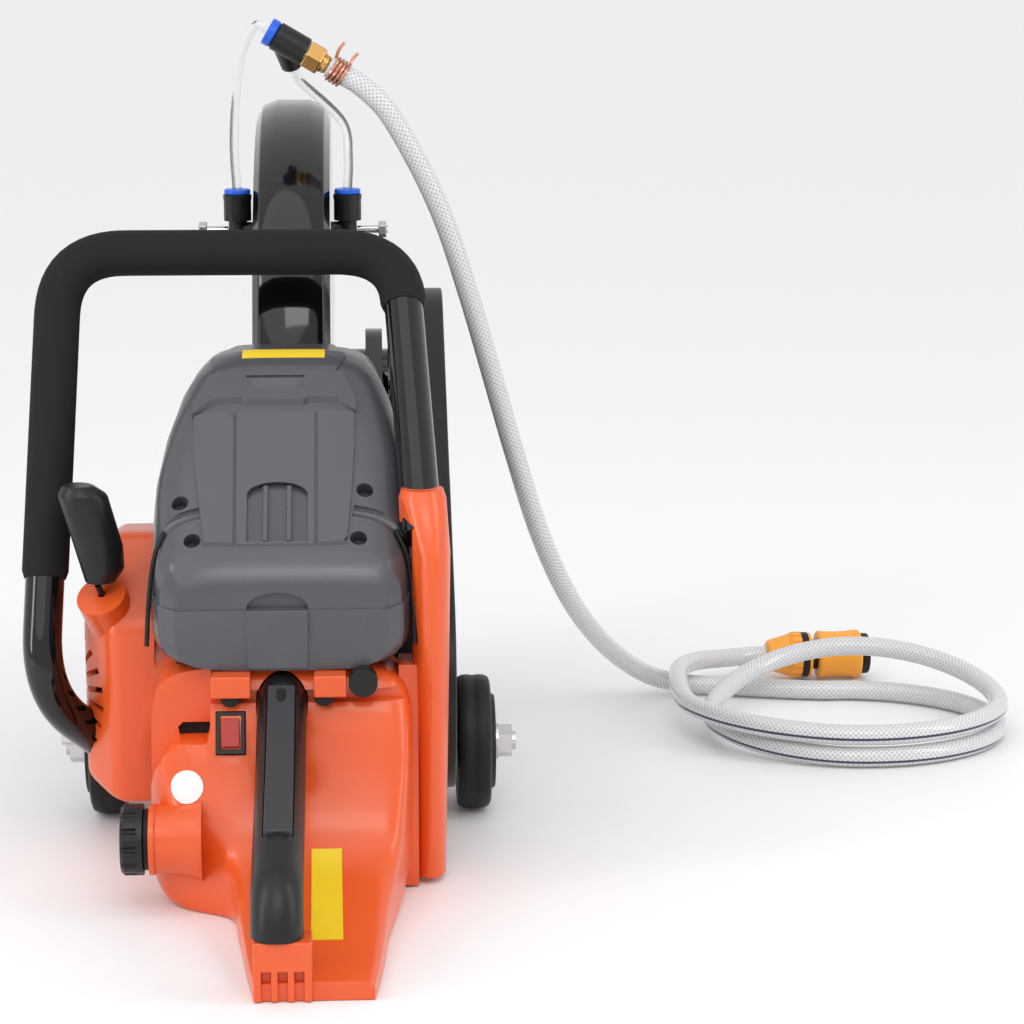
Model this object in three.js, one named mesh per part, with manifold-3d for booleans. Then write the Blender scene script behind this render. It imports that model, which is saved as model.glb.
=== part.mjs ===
// A petrol cut-off saw of the kind that fire crews carry: engine, tank, cutting arm, disc, guard,
// wheels and a water kit with its hose.
// Millimetres. X points right, Y forward to the disc and Z up. The engine stands on the flat
// underside of its tank, which is Z = 0, and the rear handle lies on the plane X = 0.
import * as THREE from "three";
import { ConvexGeometry } from "three/addons/geometries/ConvexGeometry.js";
import { mergeVertices } from "three/addons/utils/BufferGeometryUtils.js";
import Module from "manifold-3d";

// Driving dimensions
const GAP = 0.3; // running clearance between pieces that nearly touch
const DISC_X = 3;
const DISC_RADIUS = 175;
const DISC_THICKNESS = 3;
const ARBOR = { y: 455, z: 250 };
const SPINDLE_RADIUS = 9.7;
const GUARD_RADIUS = 197;
const GUARD_HALF_WIDTH = 25;
const GUARD_WALL = 3;
const CRANK = { y: 205, z: 100 };
const DRIVE_PULLEY_RADIUS = 25;
const DRIVEN_PULLEY_RADIUS = 52;
const BELT = { inner: 70, outer: 82, thickness: 6 }; // sides of the belt along X
const WHEEL_RADIUS = 43.5;
const AXLE = { y: 262, z: 43.5, radius: 6, half: 146 };
const WHEEL_INNER_X = 107;
const WHEEL_WIDTH = 22;
const HANDLE_TUBE_RADIUS = 12;
const SLEEVE_RADIUS = 14.3;
const STARTER_RADIUS = 62;
const DECK_Z = 139; // top of the rear housing, where the engine cover stands
const HOSE_RADIUS = 7;
const WATER_LINE_RADIUS = 4.8;

const PAINT = {
  orange: { color: 0xe8532a, roughness: 0.35, metalness: 0 },
  cover: { color: 0x55565c, roughness: 0.4, metalness: 0 },
  black: { color: 0x18181a, roughness: 0.45, metalness: 0 },
  foam: { color: 0x242426, roughness: 0.9, metalness: 0 },
  gloss: { color: 0x0c0c0e, roughness: 0.15, metalness: 0.2 },
  grey: { color: 0x6c6d72, roughness: 0.5, metalness: 0 },
  cast: { color: 0x9a9b9d, roughness: 0.5, metalness: 0.9 },
  steel: { color: 0xb9bbc0, roughness: 0.3, metalness: 1 },
  brass: { color: 0xc8963e, roughness: 0.3, metalness: 1 },
  copper: { color: 0xb87858, roughness: 0.35, metalness: 1 },
  rubber: { color: 0x141415, roughness: 0.7, metalness: 0 },
  red: { color: 0xd03018, roughness: 0.4, metalness: 0 },
  paper: { color: 0xd8d0b0, roughness: 0.9, metalness: 0 },
  stone: { color: 0x3a3a3c, roughness: 0.9, metalness: 0 },
  hose: { color: 0xe4e4e8, roughness: 0.3, metalness: 0 },
  plug: { color: 0xf59a30, roughness: 0.4, metalness: 0 },
};

const wasm = await Module();
wasm.setup();

// ---------------------------------------------------------------- solids and booleans

function solid(geometry) {
  const bare = geometry.clone();
  bare.deleteAttribute("normal");
  bare.deleteAttribute("uv");
  const merged = mergeVertices(bare, 1e-3);
  const index = merged.index.array;
  const faces = [];
  for (let i = 0; i < index.length; i += 3) {
    const [a, b, c] = [index[i], index[i + 1], index[i + 2]];
    if (a !== b && b !== c && c !== a) faces.push(a, b, c);
  }
  const vertProperties = merged.attributes.position.array;
  const build = (list) =>
    new wasm.Manifold(
      new wasm.Mesh({ numProp: 3, vertProperties, triVerts: new Uint32Array(list) }),
    );
  const made = build(faces);
  return made.volume() < 0 ? build(faces.reverse()) : made;
}

function geometryOf(body) {
  const mesh = body.getMesh();
  const geometry = new THREE.BufferGeometry();
  geometry.setAttribute("position", new THREE.BufferAttribute(mesh.vertProperties, 3));
  geometry.setIndex(new THREE.BufferAttribute(mesh.triVerts, 1));
  geometry.computeVertexNormals();
  return geometry;
}

const join = (first, ...rest) => rest.reduce((sum, next) => sum.add(next), first);
const cut = (first, ...rest) => rest.reduce((sum, next) => sum.subtract(next), first);

// ---------------------------------------------------------------- shapes in place

const vec = ([x, y, z]) => new THREE.Vector3(x, y, z);
const AXES = { x: vec([1, 0, 0]), y: vec([0, 1, 0]), z: vec([0, 0, 1]) };

function box([x0, x1], [y0, y1], [z0, z1]) {
  const geometry = new THREE.BoxGeometry(x1 - x0, y1 - y0, z1 - z0);
  geometry.translate((x0 + x1) / 2, (y0 + y1) / 2, (z0 + z1) / 2);
  return solid(geometry);
}

// A round bar or cone between two points.
function bar(from, to, radius, endRadius = radius, sides = 18) {
  const [a, b] = [vec(from), vec(to)];
  const along = b.clone().sub(a);
  const geometry = new THREE.CylinderGeometry(endRadius, radius, along.length(), sides);
  geometry.translate(0, along.length() / 2, 0);
  const turn = new THREE.Quaternion().setFromUnitVectors(AXES.y, along.clone().normalize());
  geometry.applyQuaternion(turn);
  geometry.translate(a.x, a.y, a.z);
  return solid(geometry);
}

// A round bar along X at a place in the YZ plane.
const rodX = (x0, x1, { y, z }, radius, sides = 20) => bar([x0, y, z], [x1, y, z], radius, radius, sides);

// A profile of [radius, x] points turned about the line along X through a place in the YZ plane.
function turnedX(profile, { y, z }, sides = 24) {
  const points = profile.map(([radius, x]) => new THREE.Vector2(radius, x));
  const geometry = new THREE.LatheGeometry(points, sides);
  geometry.applyMatrix4(new THREE.Matrix4().makeBasis(AXES.z, AXES.x, AXES.y));
  geometry.translate(0, y, z);
  return solid(geometry);
}

// The same about a vertical line.
function turnedZ(profile, { x, y }, sides = 18) {
  const points = profile.map(([radius, z]) => new THREE.Vector2(radius, z));
  const geometry = new THREE.LatheGeometry(points, sides);
  geometry.applyMatrix4(new THREE.Matrix4().makeBasis(AXES.y, AXES.z, AXES.x));
  geometry.translate(x, y, 0);
  return solid(geometry);
}

// A plate of a YZ outline, from x0 to x1.
function plateX(outline, x0, x1, curveSegments = 10) {
  const shape = Array.isArray(outline)
    ? new THREE.Shape(outline.map(([y, z]) => new THREE.Vector2(y, z)))
    : outline;
  const geometry = new THREE.ExtrudeGeometry(shape, {
    depth: x1 - x0,
    bevelEnabled: false,
    curveSegments,
  });
  geometry.applyMatrix4(new THREE.Matrix4().makeBasis(AXES.y, AXES.z, AXES.x));
  geometry.translate(x0, 0, 0);
  return solid(geometry);
}

// A pipe of a round section along a curve.
function pipe(curve, radius, steps, sides = 16) {
  const section = new THREE.Shape().absarc(0, 0, radius, 0, 2 * Math.PI);
  const settings = { steps, bevelEnabled: false, extrudePath: curve, curveSegments: sides / 2 };
  return solid(new THREE.ExtrudeGeometry(section, settings));
}

const smoothCurve = (points) => new THREE.CatmullRomCurve3(points.map(vec), false, "centripetal");

// Straight runs joined by bends that start a given distance before each corner.
function bentCurve(points, reach) {
  const path = new THREE.CurvePath();
  const corners = points.map(vec);
  let start = corners[0];
  for (let i = 1; i < corners.length - 1; i++) {
    const into = corners[i].clone().sub(corners[i - 1]).setLength(reach);
    const out = corners[i + 1].clone().sub(corners[i]).setLength(reach);
    const before = corners[i].clone().sub(into);
    const after = corners[i].clone().add(out);
    path.add(new THREE.LineCurve3(start, before));
    path.add(new THREE.QuadraticBezierCurve3(before, corners[i], after));
    start = after;
  }
  path.add(new THREE.LineCurve3(start, corners.at(-1)));
  return path;
}

// Rounded boxes skinned along Y. A station is { y, x: [low, high], z: [low, high] }, and power sets
// how square its corners are.
function loft(stations, power = 6, sides = 28) {
  const rows = stations.length - 1;
  const geometry = new THREE.CylinderGeometry(1, 1, 1, sides, rows);
  const place = geometry.attributes.position;
  const squared = (value) =>
    Math.abs(value) < 1e-4 ? 0 : Math.sign(value) * Math.abs(value) ** (2 / power);
  for (let i = 0; i < place.count; i++) {
    const [px, py, pz] = [place.getX(i), place.getY(i), place.getZ(i)];
    const { y, x, z } = stations[Math.round((py + 0.5) * rows)];
    const reach = Math.hypot(px, pz);
    const [c, s] = reach < 0.5 ? [0, 0] : [squared(px / reach), squared(pz / reach)];
    place.setXYZ(
      i,
      (x[0] + x[1]) / 2 + (c * (x[1] - x[0])) / 2,
      y,
      (z[0] + z[1]) / 2 + (s * (z[1] - z[0])) / 2,
    );
  }
  return solid(geometry);
}

// The hull of ellipses that lie level, each { at: [x, y, z], rx, ry }.
function stackedHull(rings, sides = 16) {
  const points = [];
  for (const { at, rx, ry } of rings) {
    for (let i = 0; i < sides; i++) {
      const angle = (2 * Math.PI * i) / sides;
      points.push(vec([at[0] + rx * Math.cos(angle), at[1] + ry * Math.sin(angle), at[2]]));
    }
  }
  return solid(new ConvexGeometry(points));
}

// The outline of a belt round the crank and the arbor, with a radius at each.
function beltOutline(crankRadius, arborRadius) {
  const lean = Math.atan2(ARBOR.z - CRANK.z, ARBOR.y - CRANK.y);
  const span = Math.hypot(ARBOR.z - CRANK.z, ARBOR.y - CRANK.y);
  const spread = Math.acos((crankRadius - arborRadius) / span);
  const outline = new THREE.Shape();
  outline.absarc(CRANK.y, CRANK.z, crankRadius, lean + spread, lean - spread + 2 * Math.PI);
  outline.absarc(ARBOR.y, ARBOR.z, arborRadius, lean - spread, lean + spread);
  outline.closePath();
  return outline;
}

// Everything on the crank's side of a cut across the arm, a distance from the crank.
function crankSide(distance) {
  const reach = 400;
  const geometry = new THREE.BoxGeometry(reach, reach, reach);
  geometry.translate(0, distance - reach / 2, 0);
  geometry.rotateX(Math.atan2(ARBOR.z - CRANK.z, ARBOR.y - CRANK.y));
  geometry.translate(0, CRANK.y, CRANK.z);
  return solid(geometry);
}

const saw = new THREE.Group();

function add(name, body, paint) {
  const mesh = new THREE.Mesh(geometryOf(body), new THREE.MeshStandardMaterial(PAINT[paint]));
  mesh.name = name;
  saw.add(mesh);
}

// ---------------------------------------------------------------- front handle

const HANDLE_CORNERS = [
  [-112, 196, 62],
  [-150, 146, 108],
  [-140, 250, 366],
  [72, 250, 366],
  [83, 100, 214],
];
const handleCurve = bentCurve(HANDLE_CORNERS, 40);
// The foam sleeve covers the middle of the tube: these are shares of the tube's length.
const SLEEVE_SPAN = [0.19, 0.77];

function partOf(curve, [from, to], points = 48) {
  const places = [];
  for (let i = 0; i <= points; i++) places.push(curve.getPointAt(from + ((to - from) * i) / points));
  return new THREE.CatmullRomCurve3(places, false, "centripetal");
}

const handleTube = pipe(handleCurve, HANDLE_TUBE_RADIUS, 44, 12);
const handleRoom = pipe(handleCurve, HANDLE_TUBE_RADIUS + GAP, 44, 12);
const sleeveBody = pipe(partOf(handleCurve, SLEEVE_SPAN), SLEEVE_RADIUS, 24, 12);
add("front_handle", handleTube, "gloss");
add("handle_sleeve", cut(sleeveBody, handleRoom), "foam");

// ---------------------------------------------------------------- rear housing with tank

const BASE_REAR_Y = -97;
const BELOW_BASE = -5; // the tank's rounded skin runs past its flat underside, which cuts it
const TANK_STATIONS = [
  { y: BASE_REAR_Y, x: [-14, 52], z: [BELOW_BASE, 10] },
  { y: -60, x: [-19, 56], z: [BELOW_BASE, 14] },
  { y: 0, x: [-26, 61], z: [BELOW_BASE, 26] },
  { y: 40, x: [-34, 67], z: [BELOW_BASE, 44] },
  { y: 60, x: [-66, 71], z: [BELOW_BASE, 78] },
  { y: 76, x: [-78, 74], z: [BELOW_BASE, 122] },
  { y: 90, x: [-79, 76], z: [BELOW_BASE, DECK_Z] },
  { y: 136, x: [-79, 76], z: [BELOW_BASE, DECK_Z] },
];
const COLUMN = { x: [-14, 18], y: [-100, -78], top: 33.7 };
const CAP = { y: 60, z: 43, radius: 21, neckX: -79, outerX: -95.5 };
const SWITCH = { x: -31, y: 70, z: 104, width: 17, height: 25, lean: 0.42 };
const CHOKE = { x: 47, z: 134, radius: 8.5, knobY: 66, faceY: 78, rodRadius: 3, rodEnd: 120 };
const MOUNT_RADIUS = 6;

// A box with its front face leaning with the housing behind the switch.
function leaningBox(width, height, depth, forward) {
  const geometry = new THREE.BoxGeometry(width, depth, height);
  geometry.translate(0, forward + depth / 2, 0);
  geometry.rotateX(-SWITCH.lean);
  geometry.translate(SWITCH.x, SWITCH.y, SWITCH.z);
  return solid(geometry);
}

function mountBar(x, radius) {
  return bar([x, 68, 126], [x, 84, 126], radius, radius, 20);
}

function rearHousing() {
  const underside = box([-200, 200], [-200, 300], [BELOW_BASE - 1, 0]);
  const tank = cut(loft(TANK_STATIONS, 7, 32), underside);
  const tray = box([-45, 66], [120, 235], [0, 44]);
  const column = box(COLUMN.x, COLUMN.y, [0, COLUMN.top]);
  const neck = rodX(CAP.neckX, -50, CAP, CAP.radius - 1);
  const slots = [-6, 2, 10].map((x) => box([x - 2, x + 2], [-101, -97], [6, 26]));
  const chokeBore = bar([CHOKE.x, 60, CHOKE.z], [CHOKE.x, CHOKE.rodEnd + 4, CHOKE.z], CHOKE.rodRadius + GAP);
  const chokeRoom = bar([CHOKE.x, 56, CHOKE.z], [CHOKE.x, CHOKE.faceY + GAP, CHOKE.z], CHOKE.radius + 1);
  const rooms = [-31, 24].map((x) => mountBar(x, MOUNT_RADIUS + GAP));
  const switchRoom = leaningBox(SWITCH.width + 2 * GAP, SWITCH.height + 2 * GAP, 22, -8);
  const triggerRoom = box([GRIP.x - 7, GRIP.x + 7], [40, 64], [58, 108]);
  const bores = [chokeBore, chokeRoom, ...rooms, switchRoom, triggerRoom, gripBody(GRIP.half + GAP)];
  return join(cut(join(tank, tray, neck), ...bores), cut(column, ...slots));
}

// ---------------------------------------------------------------- rear grip, trigger and lockout

// The middle line of the grip in its own plane, as [y, z], from the housing to the foot.
const GRIP_LINE = [
  [102, 122],
  [80, 121],
  [55, 108],
  [30, 95],
  [0, 82],
  [-50, 65],
  [-78, 52],
  [-88, 36],
];
const GRIP = { half: 14.5, x: -1 };

// How far a lengthwise strip of the grip stands above or below its middle line.
function gripStrip(low, high, from, to) {
  const line = smoothCurve(GRIP_LINE.map(([y, z]) => [0, y, z]));
  const steps = 12;
  const top = [];
  const bottom = [];
  for (let i = 0; i <= steps; i++) {
    const point = line.getPointAt(from + ((to - from) * i) / steps);
    top.push([point.y, point.z + high]);
    bottom.unshift([point.y, point.z + low]);
  }
  return [...top, ...bottom];
}

function gripBody(radius) {
  const foot = [GRIP.x, -89, COLUMN.top + GAP];
  const line = smoothCurve([...GRIP_LINE.map(([y, z]) => [GRIP.x, y, z]), foot]);
  return pipe(line, radius, 18, 16);
}

function rearGrip() {
  const body = gripBody(GRIP.half);
  const below = box([-40, 40], [-120, -60], [0, COLUMN.top + GAP]);
  const lockoutRoom = plateX(gripStrip(3, 30, 0.1, 0.8), GRIP.x - 8.5, GRIP.x + 8.5);
  const triggerRoom = box([GRIP.x - 5.5, GRIP.x + 5.5], [24, 64], [60, 108]);
  return cut(body, below, lockoutRoom, triggerRoom);
}

function throttleLockout() {
  return plateX(gripStrip(9, 16, 0.15, 0.76), GRIP.x - 8, GRIP.x + 8);
}

function throttleTrigger() {
  const outline = [
    [60, 102],
    [60, 92],
    [48, 76],
    [34, 71],
    [31, 74],
    [44, 86],
    [50, 102],
  ];
  return plateX(outline, GRIP.x - 5, GRIP.x + 5);
}

// ---------------------------------------------------------------- small controls

function switchBezel() {
  const frame = leaningBox(SWITCH.width, SWITCH.height, 10, -2);
  return cut(frame, leaningBox(SWITCH.width - 5, SWITCH.height - 5, 20, -8));
}

function stopRocker() {
  return leaningBox(SWITCH.width - 6.5, SWITCH.height - 8, 9, -2.5);
}

function chokeKnob() {
  const knob = bar([CHOKE.x, CHOKE.knobY, CHOKE.z], [CHOKE.x, CHOKE.faceY, CHOKE.z], CHOKE.radius);
  const rod = bar([CHOKE.x, CHOKE.knobY, CHOKE.z], [CHOKE.x, CHOKE.rodEnd, CHOKE.z], CHOKE.rodRadius);
  return join(knob, rod);
}

function fuelCap() {
  const cap = turnedX(
    [
      [0, CAP.outerX],
      [CAP.radius - 2, CAP.outerX],
      [CAP.radius, CAP.outerX + 2],
      [CAP.radius, CAP.neckX - 3.5],
      [0, CAP.neckX - 3.5],
    ],
    CAP,
  );
  const notches = [];
  for (let i = 0; i < 12; i++) {
    const angle = (2 * Math.PI * i) / 12;
    const place = { y: CAP.y + CAP.radius * Math.cos(angle), z: CAP.z + CAP.radius * Math.sin(angle) };
    notches.push(rodX(CAP.outerX - 1, CAP.neckX - 7, place, 2, 8));
  }
  return cut(cap, ...notches);
}

const capSeal = () => rodX(CAP.neckX - 3.2, CAP.neckX - GAP, CAP, CAP.radius - 3);

// ---------------------------------------------------------------- engine cover and intake

const COVER_WALL = 3;
const COVER_STATIONS = [
  { y: 80, x: [-62, 60], z: [DECK_Z + GAP, 190] },
  { y: 86, x: [-72, 70], z: [DECK_Z + GAP, 204] },
  { y: 100, x: [-77, 75], z: [DECK_Z + GAP, 216] },
  { y: 136, x: [-78, 76], z: [DECK_Z + GAP, 250] },
  { y: 146, x: [-77, 76], z: [166, 259] },
  { y: 170, x: [-73, 73], z: [168, 282] },
  { y: 196, x: [-65, 68], z: [172, 303] },
  { y: 214, x: [-57, 62], z: [186, 311] },
  { y: 240, x: [-53, 59], z: [215, 313] },
  { y: 250, x: [-48, 54], z: [228, 308] },
];

function topCover() {
  const inside = COVER_STATIONS.map(({ y, x, z }, i) => ({
    y: i === 0 ? y + COVER_WALL : i === COVER_STATIONS.length - 1 ? y - COVER_WALL : y,
    x: [x[0] + COVER_WALL, x[1] - COVER_WALL],
    z: [z[0] - 14, z[1] - COVER_WALL],
  }));
  return cut(loft(COVER_STATIONS, 4.5), loft(inside, 4.5));
}

const filterBase = () => box([-64, 62], [96, 138], [DECK_Z + GAP, 145]);
const airFilter = () => box([-40, 38], [97, 124], [145.3, 200]);

function carburettor() {
  const body = box([-22, 20], [128, 156], [168, 196]);
  return join(body, bar([0, 124.5, 182], [0, 128, 182], 16), bar([0, 156, 182], [0, 160.5, 182], 14));
}

// ---------------------------------------------------------------- engine

const CRANKCASE = { x: [-55, 50], y: [142, 258], z: [46, 150] };
const BORE_RADIUS = 20;
const CYLINDER = { x: 0, y: CRANK.y, foot: 150.3, top: 262 };

function crankcase() {
  const body = box(CRANKCASE.x, CRANKCASE.y, CRANKCASE.z);
  const axleBoss = rodX(CRANKCASE.x[0], CRANKCASE.x[1], AXLE, 13);
  const shaftBore = rodX(-60, 55, CRANK, 9 + GAP);
  const chamber = rodX(-21, 21, CRANK, 39);
  const opening = bar([0, CRANK.y, 100], [0, CRANK.y, 151], BORE_RADIUS + 1);
  const axleBore = rodX(-60, 55, AXLE, AXLE.radius + GAP);
  return cut(join(body, axleBoss), shaftBore, chamber, opening, axleBore);
}

function cylinder() {
  const profile = [[BORE_RADIUS + GAP, CYLINDER.foot]];
  profile.push([40, CYLINDER.foot], [40, CYLINDER.foot + 6], [30, CYLINDER.foot + 6]);
  for (let z = 172; z < 250; z += 18) {
    profile.push([30, z], [40, z], [40, z + 4], [30, z + 4]);
  }
  profile.push([30, 256], [24, CYLINDER.top], [0, CYLINDER.top], [0, 238], [BORE_RADIUS + GAP, 232]);
  profile.push(profile[0]);
  return turnedZ(profile, CYLINDER);
}

function piston() {
  return turnedZ(
    [
      [0, 176],
      [14, 176],
      [14, 160],
      [BORE_RADIUS, 160],
      [BORE_RADIUS, 200],
      [0, 200],
    ],
    CYLINDER,
  );
}

function crankshaft() {
  const shaft = rodX(-80, 92, CRANK, 9);
  const webs = [-18, 6].map((x) => rodX(x, x + 12, CRANK, 36));
  const pin = rodX(-6.5, 6.5, { y: CRANK.y, z: CRANK.z + 24 }, 7);
  const relief = rodX(-6, 6, CRANK, 10);
  return join(cut(shaft, relief), ...webs, pin);
}

function flywheel() {
  const rim = rodX(-76, -60, CRANK, 50, 40);
  const fins = [];
  for (let i = 0; i < 12; i++) {
    const angle = (2 * Math.PI * i) / 12;
    const place = { y: CRANK.y + 40 * Math.cos(angle), z: CRANK.z + 40 * Math.sin(angle) };
    fins.push(rodX(-82, -75, place, 4, 8));
  }
  return cut(join(rim, ...fins), rodX(-90, -50, CRANK, 9 + GAP));
}

function sparkPlug() {
  return turnedZ(
    [
      [0, CYLINDER.top + GAP],
      [9, CYLINDER.top + GAP],
      [9, 270],
      [6, 274],
      [6, 284],
      [10, 286],
      [10, 293],
      [0, 294],
    ],
    CYLINDER,
    12,
  );
}

function muffler() {
  const body = box([-72, -28], [252, 306], [152, 212]);
  const outlet = bar([-50, 305, 165], [-50, 314, 160], 8);
  return join(body, outlet);
}

// ---------------------------------------------------------------- starter

const STARTER_BOSS = { from: [-102, 180, 136], to: [-112, 156, 168] };
// The casing's side next to the engine and its outer face, as [y, z].
const STARTER_INNER = [
  [148, 38],
  [148, 150],
  [190, 200],
  [240, 196],
  [262, 110],
  [240, 38],
];
const STARTER_OUTER = [
  [178, 48],
  [176, 148],
  [204, 166],
  [238, 152],
  [246, 84],
  [220, 44],
];

function starterHousing() {
  const corners = [];
  for (const x of [-80, -106]) corners.push(...STARTER_INNER.map(([y, z]) => vec([x, y, z])));
  corners.push(...STARTER_OUTER.map(([y, z]) => vec([-125, y, z])));
  const casing = solid(new ConvexGeometry(corners));
  const collar = rodX(-81, -57, CRANK, STARTER_RADIUS, 30);
  const room = turnedX(
    [
      [0, -50],
      [55.5, -50],
      [55.5, -96],
      [46, -109],
      [37, -115],
      [30, -119],
      [0, -119],
    ],
    CRANK,
    30,
  );
  const boss = bar(STARTER_BOSS.from, STARTER_BOSS.to, 16, 12);
  const post = rodX(-122, -86, CRANK, 5);
  const ropeBore = bar([-98.2, 188.7, 122.7], [-115.2, 148.5, 180.7], 2.6, 2.6, 12);
  const slots = [];
  for (let i = 0; i < 10; i++) {
    const geometry = new THREE.BoxGeometry(30, 15, 5);
    geometry.translate(-118, 19, 0);
    geometry.rotateX((2 * Math.PI * i) / 10 + 0.3);
    geometry.translate(0, CRANK.y, CRANK.z);
    slots.push(solid(geometry));
  }
  const wheelArch = rodX(-140, -103, AXLE, WHEEL_RADIUS + 4);
  const spacerRoom = rodX(-140, -50, AXLE, 10);
  const shell = cut(join(casing, collar, boss), room, ...slots, wheelArch, spacerRoom);
  return cut(join(shell, post), ropeBore, handleRoom);
}

function starterPulley() {
  return cut(rodX(-108, -88, CRANK, 25.5), rodX(-112, -84, CRANK, 5 + GAP));
}

const starterRope = () => bar([-100.8, 182.6, 131.5], [-113.6, 152.3, 175.2], 2, 2, 10);

function starterGrip() {
  return stackedHull([
    { at: [-112, 153, 177], rx: 9, ry: 9 },
    { at: [-109, 152, 186], rx: 12, ry: 12 },
    { at: [-112, 151, 200], rx: 14.5, ry: 13 },
    { at: [-121, 149, 232], rx: 15, ry: 14 },
    { at: [-124, 149, 238], rx: 9, ry: 10 },
  ]);
}

// ---------------------------------------------------------------- clutch, belt and cutting arm

const DRUM_RADIUS = 40;

function clutchDrum() {
  return turnedX(
    [
      [9 + GAP, 64],
      [37, 64],
      [37, 53.3],
      [DRUM_RADIUS, 53.3],
      [DRUM_RADIUS, 67],
      [28, 67],
      [28, BELT.inner - 1],
      [DRIVE_PULLEY_RADIUS, BELT.inner - 1],
      [DRIVE_PULLEY_RADIUS, BELT.outer + 1],
      [28, BELT.outer + 1],
      [28, BELT.outer + 3],
      [9 + GAP, BELT.outer + 3],
      [9 + GAP, 64],
    ],
    CRANK,
  );
}

function driveBelt() {
  const outer = beltOutline(
    DRIVE_PULLEY_RADIUS + GAP + BELT.thickness,
    DRIVEN_PULLEY_RADIUS + GAP + BELT.thickness,
  );
  const inner = beltOutline(DRIVE_PULLEY_RADIUS + GAP, DRIVEN_PULLEY_RADIUS + GAP);
  return cut(plateX(outer, BELT.inner, BELT.outer, 12), plateX(inner, 60, 90, 12));
}

function drivenPulley() {
  return turnedX(
    [
      [SPINDLE_RADIUS + GAP, BELT.inner - 3],
      [22, BELT.inner - 3],
      [22, BELT.inner + 3],
      [DRIVEN_PULLEY_RADIUS - 8, BELT.inner + 3],
      [DRIVEN_PULLEY_RADIUS - 8, BELT.inner - 1],
      [DRIVEN_PULLEY_RADIUS, BELT.inner - 1],
      [DRIVEN_PULLEY_RADIUS, BELT.outer + 1],
      [DRIVEN_PULLEY_RADIUS - 8, BELT.outer + 1],
      [DRIVEN_PULLEY_RADIUS - 8, BELT.outer - 4],
      [SPINDLE_RADIUS + GAP, BELT.outer - 4],
      [SPINDLE_RADIUS + GAP, BELT.inner - 3],
    ],
    ARBOR,
  );
}

const ARM = { inner: 50.5, outer: 62 };

function cuttingArm() {
  const plate = plateX(beltOutline(54, 38), ARM.inner, ARM.outer);
  const bearing = rodX(32, 66, ARBOR, 24);
  const lowerRib = plateX(beltOutline(8, 8), ARM.inner - 12, ARM.inner + 1, 6);
  const past = rodX(30, ARM.inner + 2, CRANK, 72);
  const drumRoom = rodX(ARM.inner - 2, ARM.outer + 2, CRANK, DRUM_RADIUS + 3);
  const bore = rodX(20, 80, ARBOR, SPINDLE_RADIUS + GAP);
  return cut(join(plate, bearing, cut(lowerRib, past)), drumRoom, bore);
}

const COVER_X = { inner: 66.5, outer: 104 };

function shellOver(crankRadius, arborRadius, wall) {
  const outer = plateX(beltOutline(crankRadius, arborRadius), COVER_X.inner, COVER_X.outer);
  const inner = plateX(
    beltOutline(crankRadius - wall, arborRadius - wall),
    COVER_X.inner - 1,
    COVER_X.outer - wall,
  );
  return cut(outer, inner);
}

const SPLIT = 118; // where the two covers over the belt meet, measured from the crank

function clutchCover() {
  return shellOver(68, 66, 3).intersect(crankSide(SPLIT));
}

function beltCover() {
  return cut(shellOver(64, 66, 3), crankSide(SPLIT + GAP));
}

// ---------------------------------------------------------------- spindle, flanges and disc

function ring(outer, inner, x0, x1, sides = 40) {
  return cut(rodX(x0, x1, ARBOR, outer, sides), rodX(x0 - 1, x1 + 1, ARBOR, inner));
}

const DISC_SIDES = { low: DISC_X - DISC_THICKNESS / 2, high: DISC_X + DISC_THICKNESS / 2 };
const BORE = SPINDLE_RADIUS + GAP;

const spindle = () => rodX(-21, 90, ARBOR, SPINDLE_RADIUS);
const cuttingDisc = () => ring(DISC_RADIUS, BORE, DISC_SIDES.low, DISC_SIDES.high, 48);
const innerFlange = () => ring(50, BORE, DISC_SIDES.high + GAP, 12);
const outerFlange = () => ring(50, BORE, -5, DISC_SIDES.low - GAP);
const arborNut = () => ring(17, BORE, -17, -5.3, 6);

// ---------------------------------------------------------------- blade guard

const GUARD_REAR = (195 * Math.PI) / 180;
const GUARD_FRONT = (10 * Math.PI) / 180;

function bladeGuard() {
  const [left, right] = [DISC_X - GUARD_HALF_WIDTH, DISC_X + GUARD_HALF_WIDTH];
  const shell = turnedX(
    [
      [62, left],
      [GUARD_RADIUS - 12, left],
      [GUARD_RADIUS - 4, left + 4],
      [GUARD_RADIUS, left + 14],
      [GUARD_RADIUS, right - 14],
      [GUARD_RADIUS - 4, right - 4],
      [GUARD_RADIUS - 12, right],
      [20, right],
      [20, right - GUARD_WALL],
      [GUARD_RADIUS - 13, right - GUARD_WALL],
      [GUARD_RADIUS - 6, right - 7],
      [GUARD_RADIUS - GUARD_WALL, right - 15],
      [GUARD_RADIUS - GUARD_WALL, left + 15],
      [GUARD_RADIUS - 6, left + 7],
      [GUARD_RADIUS - 13, left + GUARD_WALL],
      [62, left + GUARD_WALL],
      [62, left],
    ],
    ARBOR,
    40,
  );
  const reach = 400;
  const edge = (angle) => [ARBOR.y + reach * Math.cos(angle), ARBOR.z + reach * Math.sin(angle)];
  const belowDisc = [ARBOR.y, ARBOR.z - reach];
  const open = plateX([[ARBOR.y, ARBOR.z], edge(GUARD_REAR), belowDisc, edge(GUARD_FRONT)], -60, 60);
  const hub = rodX(right - GUARD_WALL, right, ARBOR, 34);
  return cut(join(cut(shell, open), hub), rodX(right - 8, right + 8, ARBOR, 20));
}

// ---------------------------------------------------------------- water kit

const NOZZLE = { y: 345, low: 368, neck: 376, top: 393 };
const NOZZLE_X = { left: -32.5, right: 39.5 };

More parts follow.
